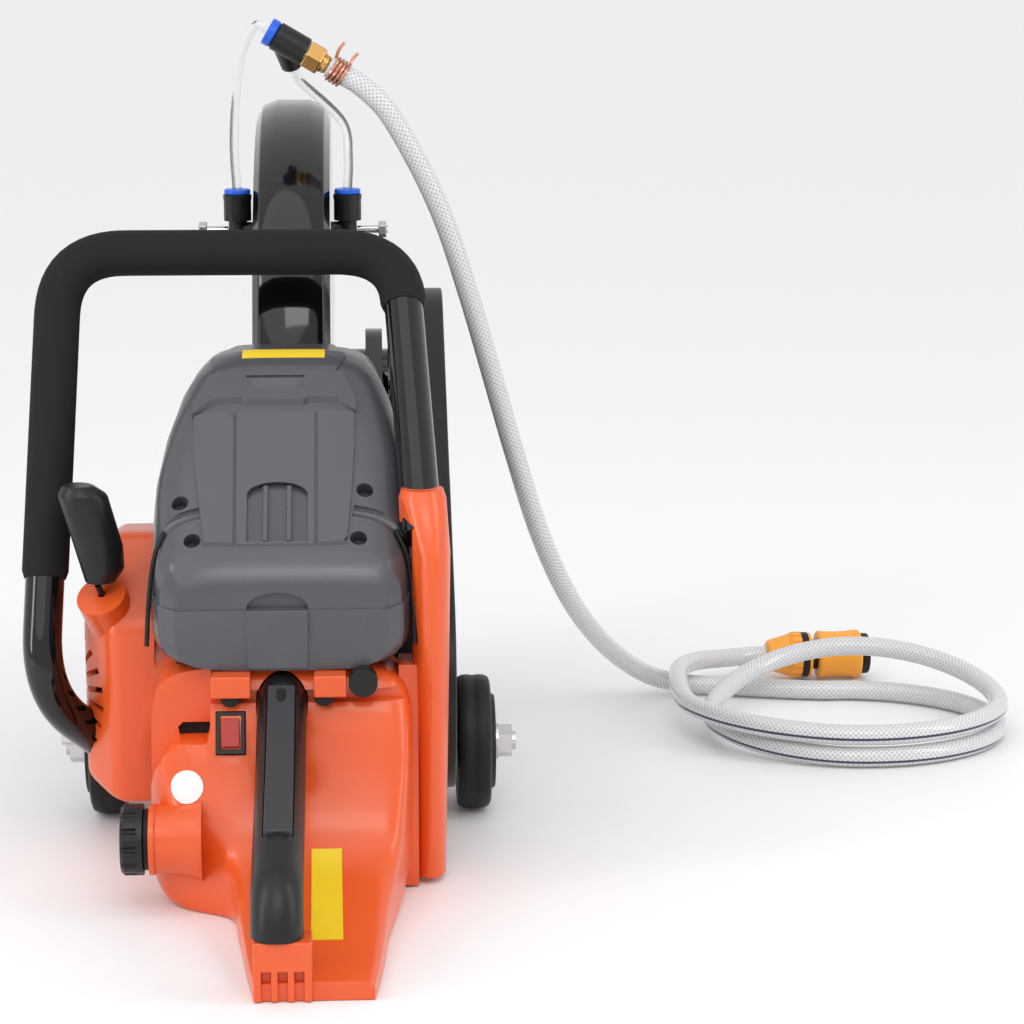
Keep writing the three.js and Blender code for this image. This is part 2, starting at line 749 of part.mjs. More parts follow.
function nozzle(x, side) {
  const wall = DISC_X + side * (GUARD_HALF_WIDTH + GAP);
  const socket = bar([x, NOZZLE.y, NOZZLE.neck], [x, NOZZLE.y, NOZZLE.top], 9, 9, 20);
  const neck = bar([x, NOZZLE.y, NOZZLE.low - 6], [x, NOZZLE.y, NOZZLE.neck + 1], 6, 6, 16);
  const stub = bar([x, NOZZLE.y, 370], [wall, NOZZLE.y, 370], 5, 5, 16);
  return join(socket, neck, stub);
}

function nozzleScrew(x, side) {
  const start = x + side * 6.3;
  const shank = bar([start, NOZZLE.y, 369.7], [start + side * 20, NOZZLE.y, 369.7], 2.5, 2.5, 12);
  const head = bar([start + side * 14, NOZZLE.y, 369.7], [start + side * 19, NOZZLE.y, 369.7], 5.5, 5.5, 6);
  return join(shank, head);
}

// The tee lies along a line that falls to the right, from its ring to the hose.
const TEE_START = vec([-10, NOZZLE.y, 498.5]);
const TEE_ALONG = vec([0.863, 0, -0.505]).normalize();
const BRANCH_ALONG = vec([0.3, 0.55, -0.78]).normalize();
const teePoint = (distance) => TEE_START.clone().addScaledVector(TEE_ALONG, distance).toArray();
const branchPoint = (distance) =>
  vec(teePoint(9)).addScaledVector(BRANCH_ALONG, distance).toArray();
const TEE = { ring: 5, body: 27, nut: 39, barb: 44, branch: 23 };
const HOSE_START = TEE.barb + GAP;

function teeFitting() {
  const releaseRing = bar(teePoint(0), teePoint(TEE.ring + 1), 8, 8, 20);
  const body = bar(teePoint(TEE.ring), teePoint(TEE.body), 9.5, 9.5, 20);
  return join(releaseRing, body, bar(teePoint(9), branchPoint(TEE.branch), 7.5, 7.5, 16));
}

function brassBarb() {
  const nut = bar(teePoint(TEE.body + GAP), teePoint(TEE.nut), 10, 10, 6);
  return join(nut, bar(teePoint(TEE.nut - 1), teePoint(TEE.barb), 6, 5, 16));
}

function hoseClamp() {
  const outside = bar(teePoint(HOSE_START + 1), teePoint(HOSE_START + 9), 9.2, 9.2, 20);
  const inside = bar(teePoint(HOSE_START), teePoint(HOSE_START + 10), 7.6, 7.6, 20);
  const [x, y, z] = teePoint(HOSE_START + 4);
  const ear = bar([x, y, z], [x + 7, y, z + 14], 1.5);
  return cut(join(outside, ear), inside);
}

function waterLineLeft() {
  const points = [
    [NOZZLE_X.left, NOZZLE.y, NOZZLE.top + GAP],
    [NOZZLE_X.left - 1.5, NOZZLE.y, 425],
    [NOZZLE_X.left + 0.5, NOZZLE.y, 460],
    [-28, NOZZLE.y, 490],
    teePoint(-9),
    teePoint(-4.5),
    teePoint(-GAP),
  ];
  return pipe(smoothCurve(points), WATER_LINE_RADIUS, 16, 8);
}

function waterLineRight() {
  const points = [
    [NOZZLE_X.right, NOZZLE.y, NOZZLE.top + GAP],
    [NOZZLE_X.right + 1, NOZZLE.y + 1, 415],
    [NOZZLE_X.right - 2, NOZZLE.y + 9, 438],
    branchPoint(TEE.branch + 12),
    branchPoint(TEE.branch + 6),
    branchPoint(TEE.branch + GAP),
  ];
  return pipe(smoothCurve(points), WATER_LINE_RADIUS, 14, 8);
}

// ---------------------------------------------------------------- hose

// The hose hangs from the tee to the floor, right of the saw.
const HOSE_DROP = [
  teePoint(HOSE_START),
  teePoint(HOSE_START + 14),
  [60, 345, 453],
  [78, 347, 427],
  [101, 351, 380],
  [119, 357, 326],
  [135, 366, 270],
  [151, 379, 213],
  [168, 397, 157],
  [188, 423, 108],
  [211, 460, 68],
  [237, 500, 36],
  [259, 525, 18],
];
const COIL = { x: 393, y: 427, rx: 104, ry: 90, wall: 9, height: 31 };
const CONNECTOR = { start: [352, 578.5, 18.5], along: vec([0.999, 0.04, 0]).normalize() };
// Where the coil's last turn rises over the others and reaches the connector.
const COIL_ARC = [
  [497, 427, 24],
  [482, 473, 33],
  [448, 505, 39],
  [400, 517, 41],
  [350, 510, 37],
  [305, 480, 28],
  [287, 440, 22],
];
const COIL_TAIL = [
  [290, 425, 22],
  [278, 462, 25],
  [279, 508, 27],
  [296, 544, 23.5],
  [322, 571, 19.5],
  [340, 578, 18.5],
  [351.6, 578.5, 18.5],
];
const COIL_ENTRY = [
  [267, 529.5, 13],
  [290, 536, 8],
  [318, 532, 7.3],
  [355, 521, 7.3],
];

function supplyHose() {
  return pipe(smoothCurve(HOSE_DROP), HOSE_RADIUS, 30, 8);
}

function hoseCoil() {
  const points = [
    [COIL.rx - COIL.wall, GAP],
    [COIL.rx + COIL.wall, GAP],
    [COIL.rx + COIL.wall, COIL.height],
    [COIL.rx - COIL.wall, COIL.height],
    [COIL.rx - COIL.wall, GAP],
  ].map(([radius, z]) => new THREE.Vector2(radius, z));
  const geometry = new THREE.LatheGeometry(points, 28);
  geometry.applyMatrix4(new THREE.Matrix4().makeBasis(AXES.y, AXES.z, AXES.x));
  geometry.scale(1, COIL.ry / COIL.rx, 1);
  geometry.translate(COIL.x, COIL.y, 0);
  const arc = pipe(smoothCurve(COIL_ARC), HOSE_RADIUS, 14, 8);
  const tail = pipe(smoothCurve(COIL_TAIL), HOSE_RADIUS, 12, 8);
  const entry = pipe(smoothCurve(COIL_ENTRY), HOSE_RADIUS, 6, 8);
  return join(solid(geometry), arc, tail, entry);
}

const connectorPoint = (distance) =>
  vec(CONNECTOR.start).addScaledVector(CONNECTOR.along, distance).toArray();

function connectorBody() {
  const nose = bar(connectorPoint(0), connectorPoint(18), 11, 16);
  const barrel = bar(connectorPoint(18), connectorPoint(34), 17.5, 17.5);
  const core = bar(connectorPoint(34), connectorPoint(72), 11, 11);
  const lip = bar(connectorPoint(72), connectorPoint(78), 15.5, 15.5);
  return join(nose, barrel, core, lip);
}

function connectorCollar() {
  const sleeve = bar(connectorPoint(38.5), connectorPoint(71.7), 18, 18);
  return cut(sleeve, bar(connectorPoint(30), connectorPoint(80), 11.4, 11.4));
}

// ---------------------------------------------------------------- wheels

function wheel(side) {
  const x = (distance) => side * (WHEEL_INNER_X + distance);
  const profile = [
    [AXLE.radius + GAP, x(0)],
    [WHEEL_RADIUS - 4, x(0)],
    [WHEEL_RADIUS, x(4)],
    [WHEEL_RADIUS, x(WHEEL_WIDTH - 4)],
    [WHEEL_RADIUS - 4, x(WHEEL_WIDTH)],
    [33, x(WHEEL_WIDTH)],
    [31, x(WHEEL_WIDTH + 3)],
    [AXLE.radius + GAP, x(WHEEL_WIDTH + 3)],
    [AXLE.radius + GAP, x(0)],
  ];
  return turnedX(profile, AXLE, 28);
}

function wheelAxle() {
  const spacers = [-1, 1].map((side) => rodX(side * 58, side * (WHEEL_INNER_X - GAP), AXLE, 9));
  return join(rodX(-AXLE.half, AXLE.half, AXLE, AXLE.radius), ...spacers);
}

function axleNut(side) {
  const start = WHEEL_INNER_X + WHEEL_WIDTH + 3 + GAP;
  const washer = rodX(side * start, side * (start + 2.2), AXLE, 12);
  const nut = rodX(side * (start + 2), side * (start + 11), AXLE, 11, 6);
  return cut(join(washer, nut), rodX(-160, 160, AXLE, AXLE.radius + GAP));
}

// ---------------------------------------------------------------- right side cover with handle socket

// It hugs the tank's right side and narrows towards the foot. Its top holds the end of the handle.
function rightSideCover() {
  const body = stackedHull([
    { at: [86.5, 114, 4], rx: 9.7, ry: 16 },
    { at: [87.6, 107, 120], rx: 10.8, ry: 23 },
    { at: [88.2, 101, 205], rx: 11, ry: 22 },
    { at: [83, 112, 236], rx: 14.2, ry: 15 },
    { at: [83, 114, 241], rx: 12.5, ry: 13.5 },
  ], 20);
  const besideTank = box([0, 76.5], [60, 150], [-1, 222]);
  return cut(body, besideTank, handleRoom);
}

function handleBolt() {
  return cut(rodX(-141, -124, { y: 184, z: 73 }, 7, 6), handleRoom);
}

// ---------------------------------------------------------------- the saw

add("rear_housing", rearHousing(), "orange");
add("right_side_cover", rightSideCover(), "orange");
add("rear_grip", rearGrip(), "black");
add("throttle_lockout", throttleLockout(), "grey");
add("throttle_trigger", throttleTrigger(), "black");
add("switch_bezel", switchBezel(), "black");
add("stop_rocker", stopRocker(), "red");
add("choke_knob", chokeKnob(), "black");
add("fuel_cap", fuelCap(), "black");
add("cap_seal", capSeal(), "rubber");
add("mount_left", mountBar(-31, MOUNT_RADIUS), "rubber");
add("mount_right", mountBar(24, MOUNT_RADIUS), "rubber");
add("top_cover", topCover(), "cover");
add("filter_base", filterBase(), "black");
add("air_filter", airFilter(), "paper");
add("carburettor", carburettor(), "cast");
add("crankcase", crankcase(), "cast");
add("cylinder", cylinder(), "cast");
add("piston", piston(), "steel");
add("crankshaft", crankshaft(), "steel");
add("flywheel", flywheel(), "cast");
add("spark_plug", sparkPlug(), "black");
add("muffler", muffler(), "steel");
add("starter_housing", starterHousing(), "orange");
add("starter_pulley", starterPulley(), "black");
add("starter_rope", starterRope(), "black");
add("starter_grip", starterGrip(), "black");
add("clutch_drum", clutchDrum(), "steel");
add("drive_belt", driveBelt(), "rubber");
add("driven_pulley", drivenPulley(), "cast");
add("cutting_arm", cuttingArm(), "black");
add("clutch_cover", clutchCover(), "black");
add("belt_cover", beltCover(), "cover");
add("spindle", spindle(), "steel");
add("cutting_disc", cuttingDisc(), "stone");
add("inner_flange", innerFlange(), "steel");
add("outer_flange", outerFlange(), "steel");
add("arbor_nut", arborNut(), "steel");
add("blade_guard", bladeGuard(), "gloss");
for (const [name, side] of [["left", -1], ["right", 1]]) {
  add("nozzle_" + name, nozzle(NOZZLE_X[name], side), "black");
  add("nozzle_screw_" + name, nozzleScrew(NOZZLE_X[name], side), "steel");
  add("wheel_" + name, wheel(side), "rubber");
  add("axle_nut_" + name, axleNut(side), "steel");
}
add("tee_fitting", teeFitting(), "black");
add("brass_barb", brassBarb(), "brass");
add("hose_clamp", hoseClamp(), "copper");
add("water_line_left", waterLineLeft(), "hose");
add("water_line_right", waterLineRight(), "hose");
add("supply_hose", supplyHose(), "hose");
add("hose_coil", hoseCoil(), "hose");
add("connector_body", connectorBody(), "plug");
add("connector_collar", connectorCollar(), "plug");
add("wheel_axle", wheelAxle(), "steel");
add("handle_bolt", handleBolt(), "steel");

export default saw;
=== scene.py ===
# %% [markdown]
# # A rescue saw
# The saw stands on a pale studio floor. Its working parts were designed as plain solids, and this
# script dresses them: each visible piece is modelled again with fine edges, wells, ribs and vents,
# in the same place, and every finish is made from Blender's own texture nodes.

# %% The frame
import math
import bmesh
import bpy
from mathutils import Matrix, Vector


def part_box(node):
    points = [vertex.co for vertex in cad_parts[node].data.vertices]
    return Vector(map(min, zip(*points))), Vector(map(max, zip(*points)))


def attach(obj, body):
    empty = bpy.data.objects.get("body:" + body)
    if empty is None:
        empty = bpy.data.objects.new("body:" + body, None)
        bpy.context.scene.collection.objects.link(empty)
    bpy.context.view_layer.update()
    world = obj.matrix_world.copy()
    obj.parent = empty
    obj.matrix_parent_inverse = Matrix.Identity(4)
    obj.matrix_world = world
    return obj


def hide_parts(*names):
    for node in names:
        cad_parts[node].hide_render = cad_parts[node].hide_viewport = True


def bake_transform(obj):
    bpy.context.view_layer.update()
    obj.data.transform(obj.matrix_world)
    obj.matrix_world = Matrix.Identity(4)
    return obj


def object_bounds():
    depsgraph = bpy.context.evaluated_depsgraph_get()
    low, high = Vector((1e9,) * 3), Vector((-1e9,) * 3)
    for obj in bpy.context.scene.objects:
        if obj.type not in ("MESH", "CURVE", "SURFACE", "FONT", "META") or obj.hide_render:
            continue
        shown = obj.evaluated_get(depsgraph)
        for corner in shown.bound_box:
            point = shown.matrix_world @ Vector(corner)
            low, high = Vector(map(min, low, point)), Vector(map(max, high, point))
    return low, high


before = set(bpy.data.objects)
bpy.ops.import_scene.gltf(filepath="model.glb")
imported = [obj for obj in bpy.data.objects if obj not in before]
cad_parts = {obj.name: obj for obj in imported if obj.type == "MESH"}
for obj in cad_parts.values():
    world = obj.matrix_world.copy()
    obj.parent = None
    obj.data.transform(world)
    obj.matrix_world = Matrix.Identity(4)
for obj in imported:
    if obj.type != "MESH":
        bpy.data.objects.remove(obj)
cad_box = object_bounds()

MM = 0.001
print("the working model reaches from", cad_box[0], "to", cad_box[1])

# %% [markdown]
# ## Camera
# The saw is seen from behind and a little above, the way its operator sees it. A long lens from
# 1.7 m keeps the rear grip large while the guard in front stays small behind it.

# %% Camera
def add_camera(place, down, right, lens):
    data = bpy.data.cameras.new("operator_view")
    data.lens = lens
    data.sensor_width = 36
    data.clip_end = 100
    camera = bpy.data.objects.new("operator_view", data)
    camera.location = Vector(place) * MM
    camera.rotation_euler = (math.radians(90 - down), 0, math.radians(-right))
    bpy.context.collection.objects.link(camera)
    bpy.context.scene.camera = camera
    return camera

print("camera:", add_camera((48, -1693, 594), down=11.5, right=2.8, lens=108.98).name)

# %% [markdown]
# ## Shaping helpers
# Most pieces come from four moves: turning a profile about an axis, skinning rings, sweeping a ring
# along a line, and cutting a prism out of an outline. Each helper starts from a `bmesh.ops` shape
# and lets Blender's operators do the joining, so there are no hand-kept lists of faces.

# %% Points and smooth lines
def at(x, y, z):
    return Vector((x, y, z)) * MM

def between(a, b, leave, arrive, t):
    """A place on a smooth curve from a to b, with the speeds it leaves and arrives at."""
    return (a * (2 * t**3 - 3 * t**2 + 1) + leave * (t**3 - 2 * t**2 + t)
            + b * (3 * t**2 - 2 * t**3) + arrive * (t**3 - t**2))

def smooth_line(points, steps=8):
    """A centripetal Catmull-Rom line through points, with some steps between each two."""
    ends = [points[0] * 2 - points[1], *points, points[-1] * 2 - points[-2]]
    line = []
    for a, b, c, d in zip(ends, ends[1:], ends[2:], ends[3:]):
        ab, bc, cd = ((q - p).length ** 0.5 for p, q in ((a, b), (b, c), (c, d)))
        leave = ((b - a) / ab - (c - a) / (ab + bc) + (c - b) / bc) * bc
        arrive = ((c - b) / bc - (d - b) / (bc + cd) + (d - c) / cd) * bc
        line += [between(b, c, leave, arrive, i / steps) for i in range(steps)]
    return [*line, points[-1].copy()]

def rounded_corners(points, reach, steps=10):
    """Straight runs with a bend of a given reach at each inner corner."""
    line = [points[0]]
    for before, corner, after in zip(points, points[1:], points[2:]):
        a = corner + (before - corner).normalized() * reach
        b = corner + (after - corner).normalized() * reach
        for i in range(steps + 1):
            t = i / steps
            line.append(a * (1 - t) ** 2 + corner * 2 * t * (1 - t) + b * t**2)
    return [*line, points[-1]]

def even_steps(line, step):
    """The same line with points a given step apart."""
    lengths = [0]
    for a, b in zip(line, line[1:]):
        lengths.append(lengths[-1] + (b - a).length)
    count = max(2, round(lengths[-1] / step))
    result, i = [], 0
    for n in range(count + 1):
        want = lengths[-1] * n / count
        while i < len(line) - 2 and lengths[i + 1] < want:
            i += 1
        span = max(lengths[i + 1] - lengths[i], 1e-9)
        result.append(line[i].lerp(line[i + 1], min(1, (want - lengths[i]) / span)))
    return result

# %% A frame that travels along a line without twisting
def travelling_frames(line):
    frames, side = [], None
    for i, point in enumerate(line):
        ahead = (line[min(i + 1, len(line) - 1)] - line[max(i - 1, 0)]).normalized()
        if side is None:
            side = ahead.orthogonal().normalized()
        side = (side - ahead * side.dot(ahead)).normalized()
        matrix = Matrix((side, ahead.cross(side), ahead)).transposed().to_4x4()
        matrix.translation = point
        frames.append(matrix)
    return frames

# %% Sweeping, turning, skinning and cutting out
def close_ends(bm):
    open_edges = [e for e in bm.edges if e.is_boundary]
    if open_edges:
        bmesh.ops.edgenet_fill(bm, edges=open_edges)

def swept(line, radius, sides=24, mapped=False):
    """A round bar along a line. Mapped bars carry how far round and how far along each point is."""
    bm = bmesh.new()
    frames = travelling_frames(line)
    thick = radius if callable(radius) else lambda share: radius
    size = [thick(i / (len(frames) - 1)) for i in range(len(frames))]
    made = bmesh.ops.create_circle(bm, segments=sides, radius=size[0], matrix=frames[0])
    ring, edges = made["verts"], list(bm.edges)
    rings = [ring]
    for i in range(1, len(frames)):
        made = bmesh.ops.extrude_edge_only(bm, edges=edges)["geom"]
        ring = [g for g in made if isinstance(g, bmesh.types.BMVert)]
        edges = [g for g in made if isinstance(g, bmesh.types.BMEdge)]
        grow = Matrix.Scale(size[i] / size[i - 1], 4)
        move = frames[i] @ grow @ frames[i - 1].inverted()
        bmesh.ops.transform(bm, matrix=move, verts=ring)
        rings.append(ring)
    if mapped:
        map_along(bm, rings, frames)
    close_ends(bm)
    bmesh.ops.recalc_face_normals(bm, faces=bm.faces)
    return bm

def map_along(bm, rings, frames):
    place, gone = {}, 0.0
    for i, ring in enumerate(rings):
        if i:
            gone += (frames[i].translation - frames[i - 1].translation).length
        inverse = frames[i].inverted()
        for vert in ring:
            local = inverse @ vert.co
            place[vert] = (math.atan2(local.y, local.x) / math.tau % 1, gone)
    uv = bm.loops.layers.uv.new("along")
    for face in bm.faces:
        across = [place[loop.vert][0] for loop in face.loops]
        for loop, share in zip(face.loops, across):
            wrapped = share + 1 if max(across) - share > 0.5 else share
            loop[uv].uv = (wrapped, place[loop.vert][1])

def turned(profile, centre, axis="X", steps=48):
    """A profile of (radius, along) pairs in millimetres, turned about a line along an axis."""
    turn = {"X": Matrix.Rotation(math.pi / 2, 4, "Y"), "Y": Matrix.Rotation(-math.pi / 2, 4, "X"),
            "Z": Matrix.Identity(4)}[axis] if isinstance(axis, str) else axis
    bm = bmesh.new()
    verts = [bm.verts.new((radius * MM, 0, along * MM)) for radius, along in profile]
    for a, b in zip(verts, verts[1:]):
        bm.edges.new((a, b))
    bmesh.ops.spin(bm, geom=bm.verts[:] + bm.edges[:], axis=(0, 0, 1), cent=(0, 0, 0),
                   angle=math.tau, steps=steps, use_merge=True)
    bmesh.ops.remove_doubles(bm, verts=bm.verts, dist=1e-6)
    close_ends(bm)
    bmesh.ops.recalc_face_normals(bm, faces=bm.faces)
    bmesh.ops.transform(bm, matrix=Matrix.Translation(centre) @ turn, verts=bm.verts)
    return bm

def facing(direction):
    """The turn that points a profile's own axis along a direction."""
    return direction.to_track_quat("Z", "Y").to_matrix().to_4x4()

def squared(value, power):
    return math.copysign(abs(value) ** (2 / power), value) if abs(value) > 1e-6 else 0.0

def skinned(stations, power=4.5, sides=64):
    """Rounded boxes skinned along Y. A station is (y, (x low, x high), (z low, z high))."""
    bm = bmesh.new()
    edges = []
    for y, (x0, x1), (z0, z1) in stations:
        made = bmesh.ops.create_circle(bm, segments=sides, radius=1)
        for vert in made["verts"]:
            across, up = squared(vert.co.x, power), squared(vert.co.y, power)
            vert.co = at((x0 + x1 + across * (x1 - x0)) / 2, y, (z0 + z1 + up * (z1 - z0)) / 2)
        ring = list({edge for vert in made["verts"] for edge in vert.link_edges})
        if edges:
            bmesh.ops.bridge_loops(bm, edges=edges + ring)
        edges = ring
    close_ends(bm)
    bmesh.ops.recalc_face_normals(bm, faces=bm.faces)
    return bm

def prism(outline, depth, place):
    """A flat outline in millimetres, given thickness along its own Z and put in place."""
    bm = bmesh.new()
    face = bm.faces.new([bm.verts.new((x * MM, y * MM, 0)) for x, y in outline])
    made = bmesh.ops.extrude_face_region(bm, geom=[face])["geom"]
    top = [g for g in made if isinstance(g, bmesh.types.BMVert)]
    bmesh.ops.translate(bm, vec=(0, 0, depth * MM), verts=top)
    bmesh.ops.recalc_face_normals(bm, faces=bm.faces)
    bmesh.ops.transform(bm, matrix=place, verts=bm.verts)
    return bm

def as_object(name, bm):
    """An object in the scene that takes over a shape."""
    made = bpy.data.objects.new(name, bpy.data.meshes.new(name))
    bm.to_mesh(made.data)
    bm.free()
    bpy.context.collection.objects.link(made)
    return made

def cuboid(size, centre):
    bm = bmesh.new()
    bmesh.ops.create_cube(bm, size=1)
    bmesh.ops.scale(bm, vec=at(*size), verts=bm.verts)
    bmesh.ops.translate(bm, vec=at(*centre), verts=bm.verts)
    return bm

def block(low, high):
    """A cuboid between two corners, mostly used as a cutter."""
    low, high = Vector(low), Vector(high)
    return cuboid(high - low, (low + high) / 2)

def together(*shapes):
    """Several closed shapes in one mesh."""
    bm = bmesh.new()
    for shape in shapes:
        mesh = bpy.data.meshes.new("gathered")
        shape.to_mesh(mesh)
        bm.from_mesh(mesh)
        bpy.data.meshes.remove(mesh)
        shape.free()
    return bm

def facing_rear(x, y, z):
    """Puts an outline drawn as (x, z) upright at a place, with its thickness along -Y."""
    return Matrix.Translation(at(x, y, z)) @ Matrix.Rotation(math.pi / 2, 4, "X")

def arc(radius, start, end, steps, centre=(0, 0)):
    angles = [math.radians(start + (end - start) * i / steps) for i in range(steps + 1)]
    return [(centre[0] + radius * math.cos(a), centre[1] + radius * math.sin(a)) for a in angles]

# %% [markdown]
# ## From a shape to a piece of the saw
# A piece needs a finish, a body that it moves with and, where it takes the place of a working part,
# that part's name. Real mouldings have no razor edges, so where a piece is given an edge width a Bevel
# modifier rounds every corner that is sharper than 30 degrees; shading is smooth elsewhere.

# %% Making a piece
SMOOTH_BELOW, ROUND_ABOVE = 32, 30  # degrees between neighbouring faces

def piece(name, bm, finish, body, instead_of=(), edge=0.0, slot=None):
    made = as_object(name, bm)
    made.data.materials.append(finish)
    made.data.shade_smooth()
    made.data.set_sharp_from_angle(angle=math.radians(SMOOTH_BELOW))
    if edge:
        bevel = made.modifiers.new("rounded edges", "BEVEL")
        bevel.width = edge * MM
        bevel.segments = 2
        bevel.limit_method = "ANGLE"
        bevel.angle_limit = math.radians(ROUND_ABOVE)
        bevel.harden_normals = True
        bevel.use_clamp_overlap = True
    if body:
        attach(made, body)
    if instead_of:
        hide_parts(*instead_of)
    slot or finish["slot"]
    return made

def shape_of(node):
    """A copy of a working part's solid with its triangles joined into clean faces."""
    bm = bmesh.new()
    bm.from_mesh(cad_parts[node].data)
    bmesh.ops.remove_doubles(bm, verts=bm.verts, dist=1e-5)
    bmesh.ops.dissolve_limit(bm, angle_limit=math.radians(1), verts=bm.verts, edges=bm.edges)
    return bm

def shape_grown(node, by):
    """A working part's solid with its faces pushed out a little, as a cutter for its seat."""
    bm = shape_of(node)
    low, high = (Vector(c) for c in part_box(node))
    middle, size = (low + high) / 2, high - low
    grow = Matrix.Diagonal([1 + 2 * by * MM / s for s in size]).to_4x4()
    bmesh.ops.transform(bm, matrix=Matrix.Translation(middle) @ grow @ Matrix.Translation(-middle),
                        verts=bm.verts)
    return bm

def carve(bm, *cutters):
    """The shape with other shapes cut out of it."""
    return combined(bm, "DIFFERENCE", cutters)

def fuse(bm, *others):
    return combined(bm, "UNION", others)

def combined(bm, operation, others):
    made = as_object("work", bm)
    helpers = [as_object("tool", other) for other in others]
    for helper in helpers:
        modifier = made.modifiers.new("tool", "BOOLEAN")
        modifier.operation = operation
        modifier.solver = "EXACT"
        modifier.object = helper
    seen = made.evaluated_get(bpy.context.evaluated_depsgraph_get())
    result = bmesh.new()
    result.from_mesh(seen.to_mesh())
    for used in (made, *helpers):
        mesh = used.data
        bpy.data.objects.remove(used)
        bpy.data.meshes.remove(mesh)
    bmesh.ops.remove_doubles(result, verts=result.verts, dist=1e-6)
    bmesh.ops.dissolve_degenerate(result, edges=result.edges, dist=1e-6)
    return result

# %% [markdown]
# ## Finishes
# Every finish starts from one Principled shader. What sets them apart is small: moulded plastic has
# a fine spark texture, foam has open cells, paint ripples slightly and zinc shows its grain. The
# texture is measured in real millimetres on Object coordinates, so it keeps its size on every piece.

# %% The common recipe
def finish(name, slot, colour, rough, metal=0.0, grain=2.0, bump=0.1, vary=0.06, **more):
    material = bpy.data.materials.new(name)
    material.use_nodes = True
    nodes, links = material.node_tree.nodes, material.node_tree.links
    shader = nodes["Principled BSDF"]
    shader.inputs["Metallic"].default_value = metal
    for socket, value in more.items():
        shader.inputs[socket.replace("_", " ")].default_value = value
    place = nodes.new("ShaderNodeTexCoord")
    broad = nodes.new("ShaderNodeTexNoise")
    broad.inputs["Scale"].default_value = 35
    broad.inputs["Detail"].default_value = 5
    fine = nodes.new("ShaderNodeTexNoise")
    fine.inputs["Scale"].default_value = 1000 / grain
    fine.inputs["Detail"].default_value = 3
    for noise in (broad, fine):
        links.new(place.outputs["Object"], noise.inputs["Vector"])
    tint = nodes.new("ShaderNodeMix")
    tint.data_type = "RGBA"
    links.new(broad.outputs["Fac"], tint.inputs["Factor"])
    tint.inputs["A"].default_value = (*[c * (1 - vary) for c in colour], 1)
    tint.inputs["B"].default_value = (*[min(1, c * (1 + vary)) for c in colour], 1)
    links.new(tint.outputs["Result"], shader.inputs["Base Color"])
    shine = nodes.new("ShaderNodeMapRange")
    shine.inputs["To Min"].default_value = max(0.02, rough - 0.05)
    shine.inputs["To Max"].default_value = rough + 0.05
    links.new(broad.outputs["Fac"], shine.inputs["Value"])
    links.new(shine.outputs["Result"], shader.inputs["Roughness"])
    relief = nodes.new("ShaderNodeBump")
    relief.inputs["Strength"].default_value = bump
    relief.inputs["Distance"].default_value = 0.0003
    links.new(fine.outputs["Fac"], relief.inputs["Height"])
    links.new(relief.outputs["Normal"], shader.inputs["Normal"])
    material["slot"] = slot
    return material

ORANGE = finish("orange moulding", "orange_plastic", (0.74, 0.095, 0.014), 0.32, bump=0.04,
                grain=1.2, vary=0.03, Coat_Weight=0.2, Coat_Roughness=0.15)
COVER = finish("grey engine cover", "cover_plastic", (0.068, 0.069, 0.080), 0.27, bump=0.05,
               grain=1.0, Coat_Weight=0.15, Coat_Roughness=0.2)
BLACK = finish("black moulding", "black_plastic", (0.009, 0.009, 0.010), 0.36, bump=0.08, grain=0.9,
               Specular_IOR_Level=0.35)
GREY = finish("grey lever", "grey_plastic", (0.030, 0.030, 0.033), 0.42, bump=0.1, grain=0.9)
RED = finish("red rocker", "red_plastic", (0.42, 0.02, 0.012), 0.30, bump=0.02)
FOAM = finish("foam sleeve", "foam", (0.013, 0.013, 0.014), 0.8, bump=0.6, grain=1.1, vary=0.15,
              Specular_IOR_Level=0.2)
RUBBER = finish("rubber", "rubber", (0.009, 0.009, 0.010), 0.5, bump=0.25, grain=1.4,
                Specular_IOR_Level=0.3)
GLOSS = finish("gloss black paint", "gloss_black_alloy", (0.004, 0.004, 0.0045), 0.10, bump=0.02,
               grain=6, Specular_IOR_Level=0.3, Coat_Weight=0.45, Coat_Roughness=0.05)
CAST = finish("cast alloy", "cast_alloy", (0.36, 0.36, 0.37), 0.5, metal=0.9, bump=0.5, grain=1.5)
TURNED = finish("turned alloy", "machined_alloy", (0.5, 0.5, 0.52), 0.28, metal=1.0, bump=0.1)
ZINC = finish("zinc plated steel", "steel", (0.62, 0.62, 0.64), 0.26, metal=1.0, bump=0.1, grain=3)
BRASS = finish("brass", "brass", (0.62, 0.36, 0.12), 0.24, metal=1.0, bump=0.06)
COPPER = finish("copper wire", "copper_wire", (0.60, 0.27, 0.18), 0.25, metal=1.0, bump=0.05)
STONE = finish("bonded grit", "abrasive", (0.05, 0.05, 0.052), 0.9, bump=1.0, grain=0.8, vary=0.4)
PAPER = finish("pleated paper", "filter_paper", (0.60, 0.55, 0.40), 0.8, bump=0.3)
BLUE = finish("blue release ring", "black_plastic", (0.01, 0.10, 0.62), 0.3, bump=0.03)
PLUG = finish("connector moulding", "connector_plastic", (0.90, 0.36, 0.03), 0.36, bump=0.06)
YELLOW = finish("yellow blank label", "orange_plastic", (0.80, 0.56, 0.015), 0.4, bump=0.02)
WHITE = finish("white blank label", "orange_plastic", (0.82, 0.82, 0.82), 0.35, bump=0.02)
# Painted shadow: a near-black finish for the block that darkens the side slot in the housing.
PAINTED_SLOT_SHADOW = finish("painted slot shadow", "black_plastic", (0.004, 0.004, 0.004), 0.8, bump=0.1)
CLEAR = finish("clear water line", "water_line", (0.93, 0.95, 0.97), 0.10, bump=0.02, vary=0.01,
               Transmission_Weight=0.92, IOR=1.35)
print("finishes:", len(bpy.data.materials))

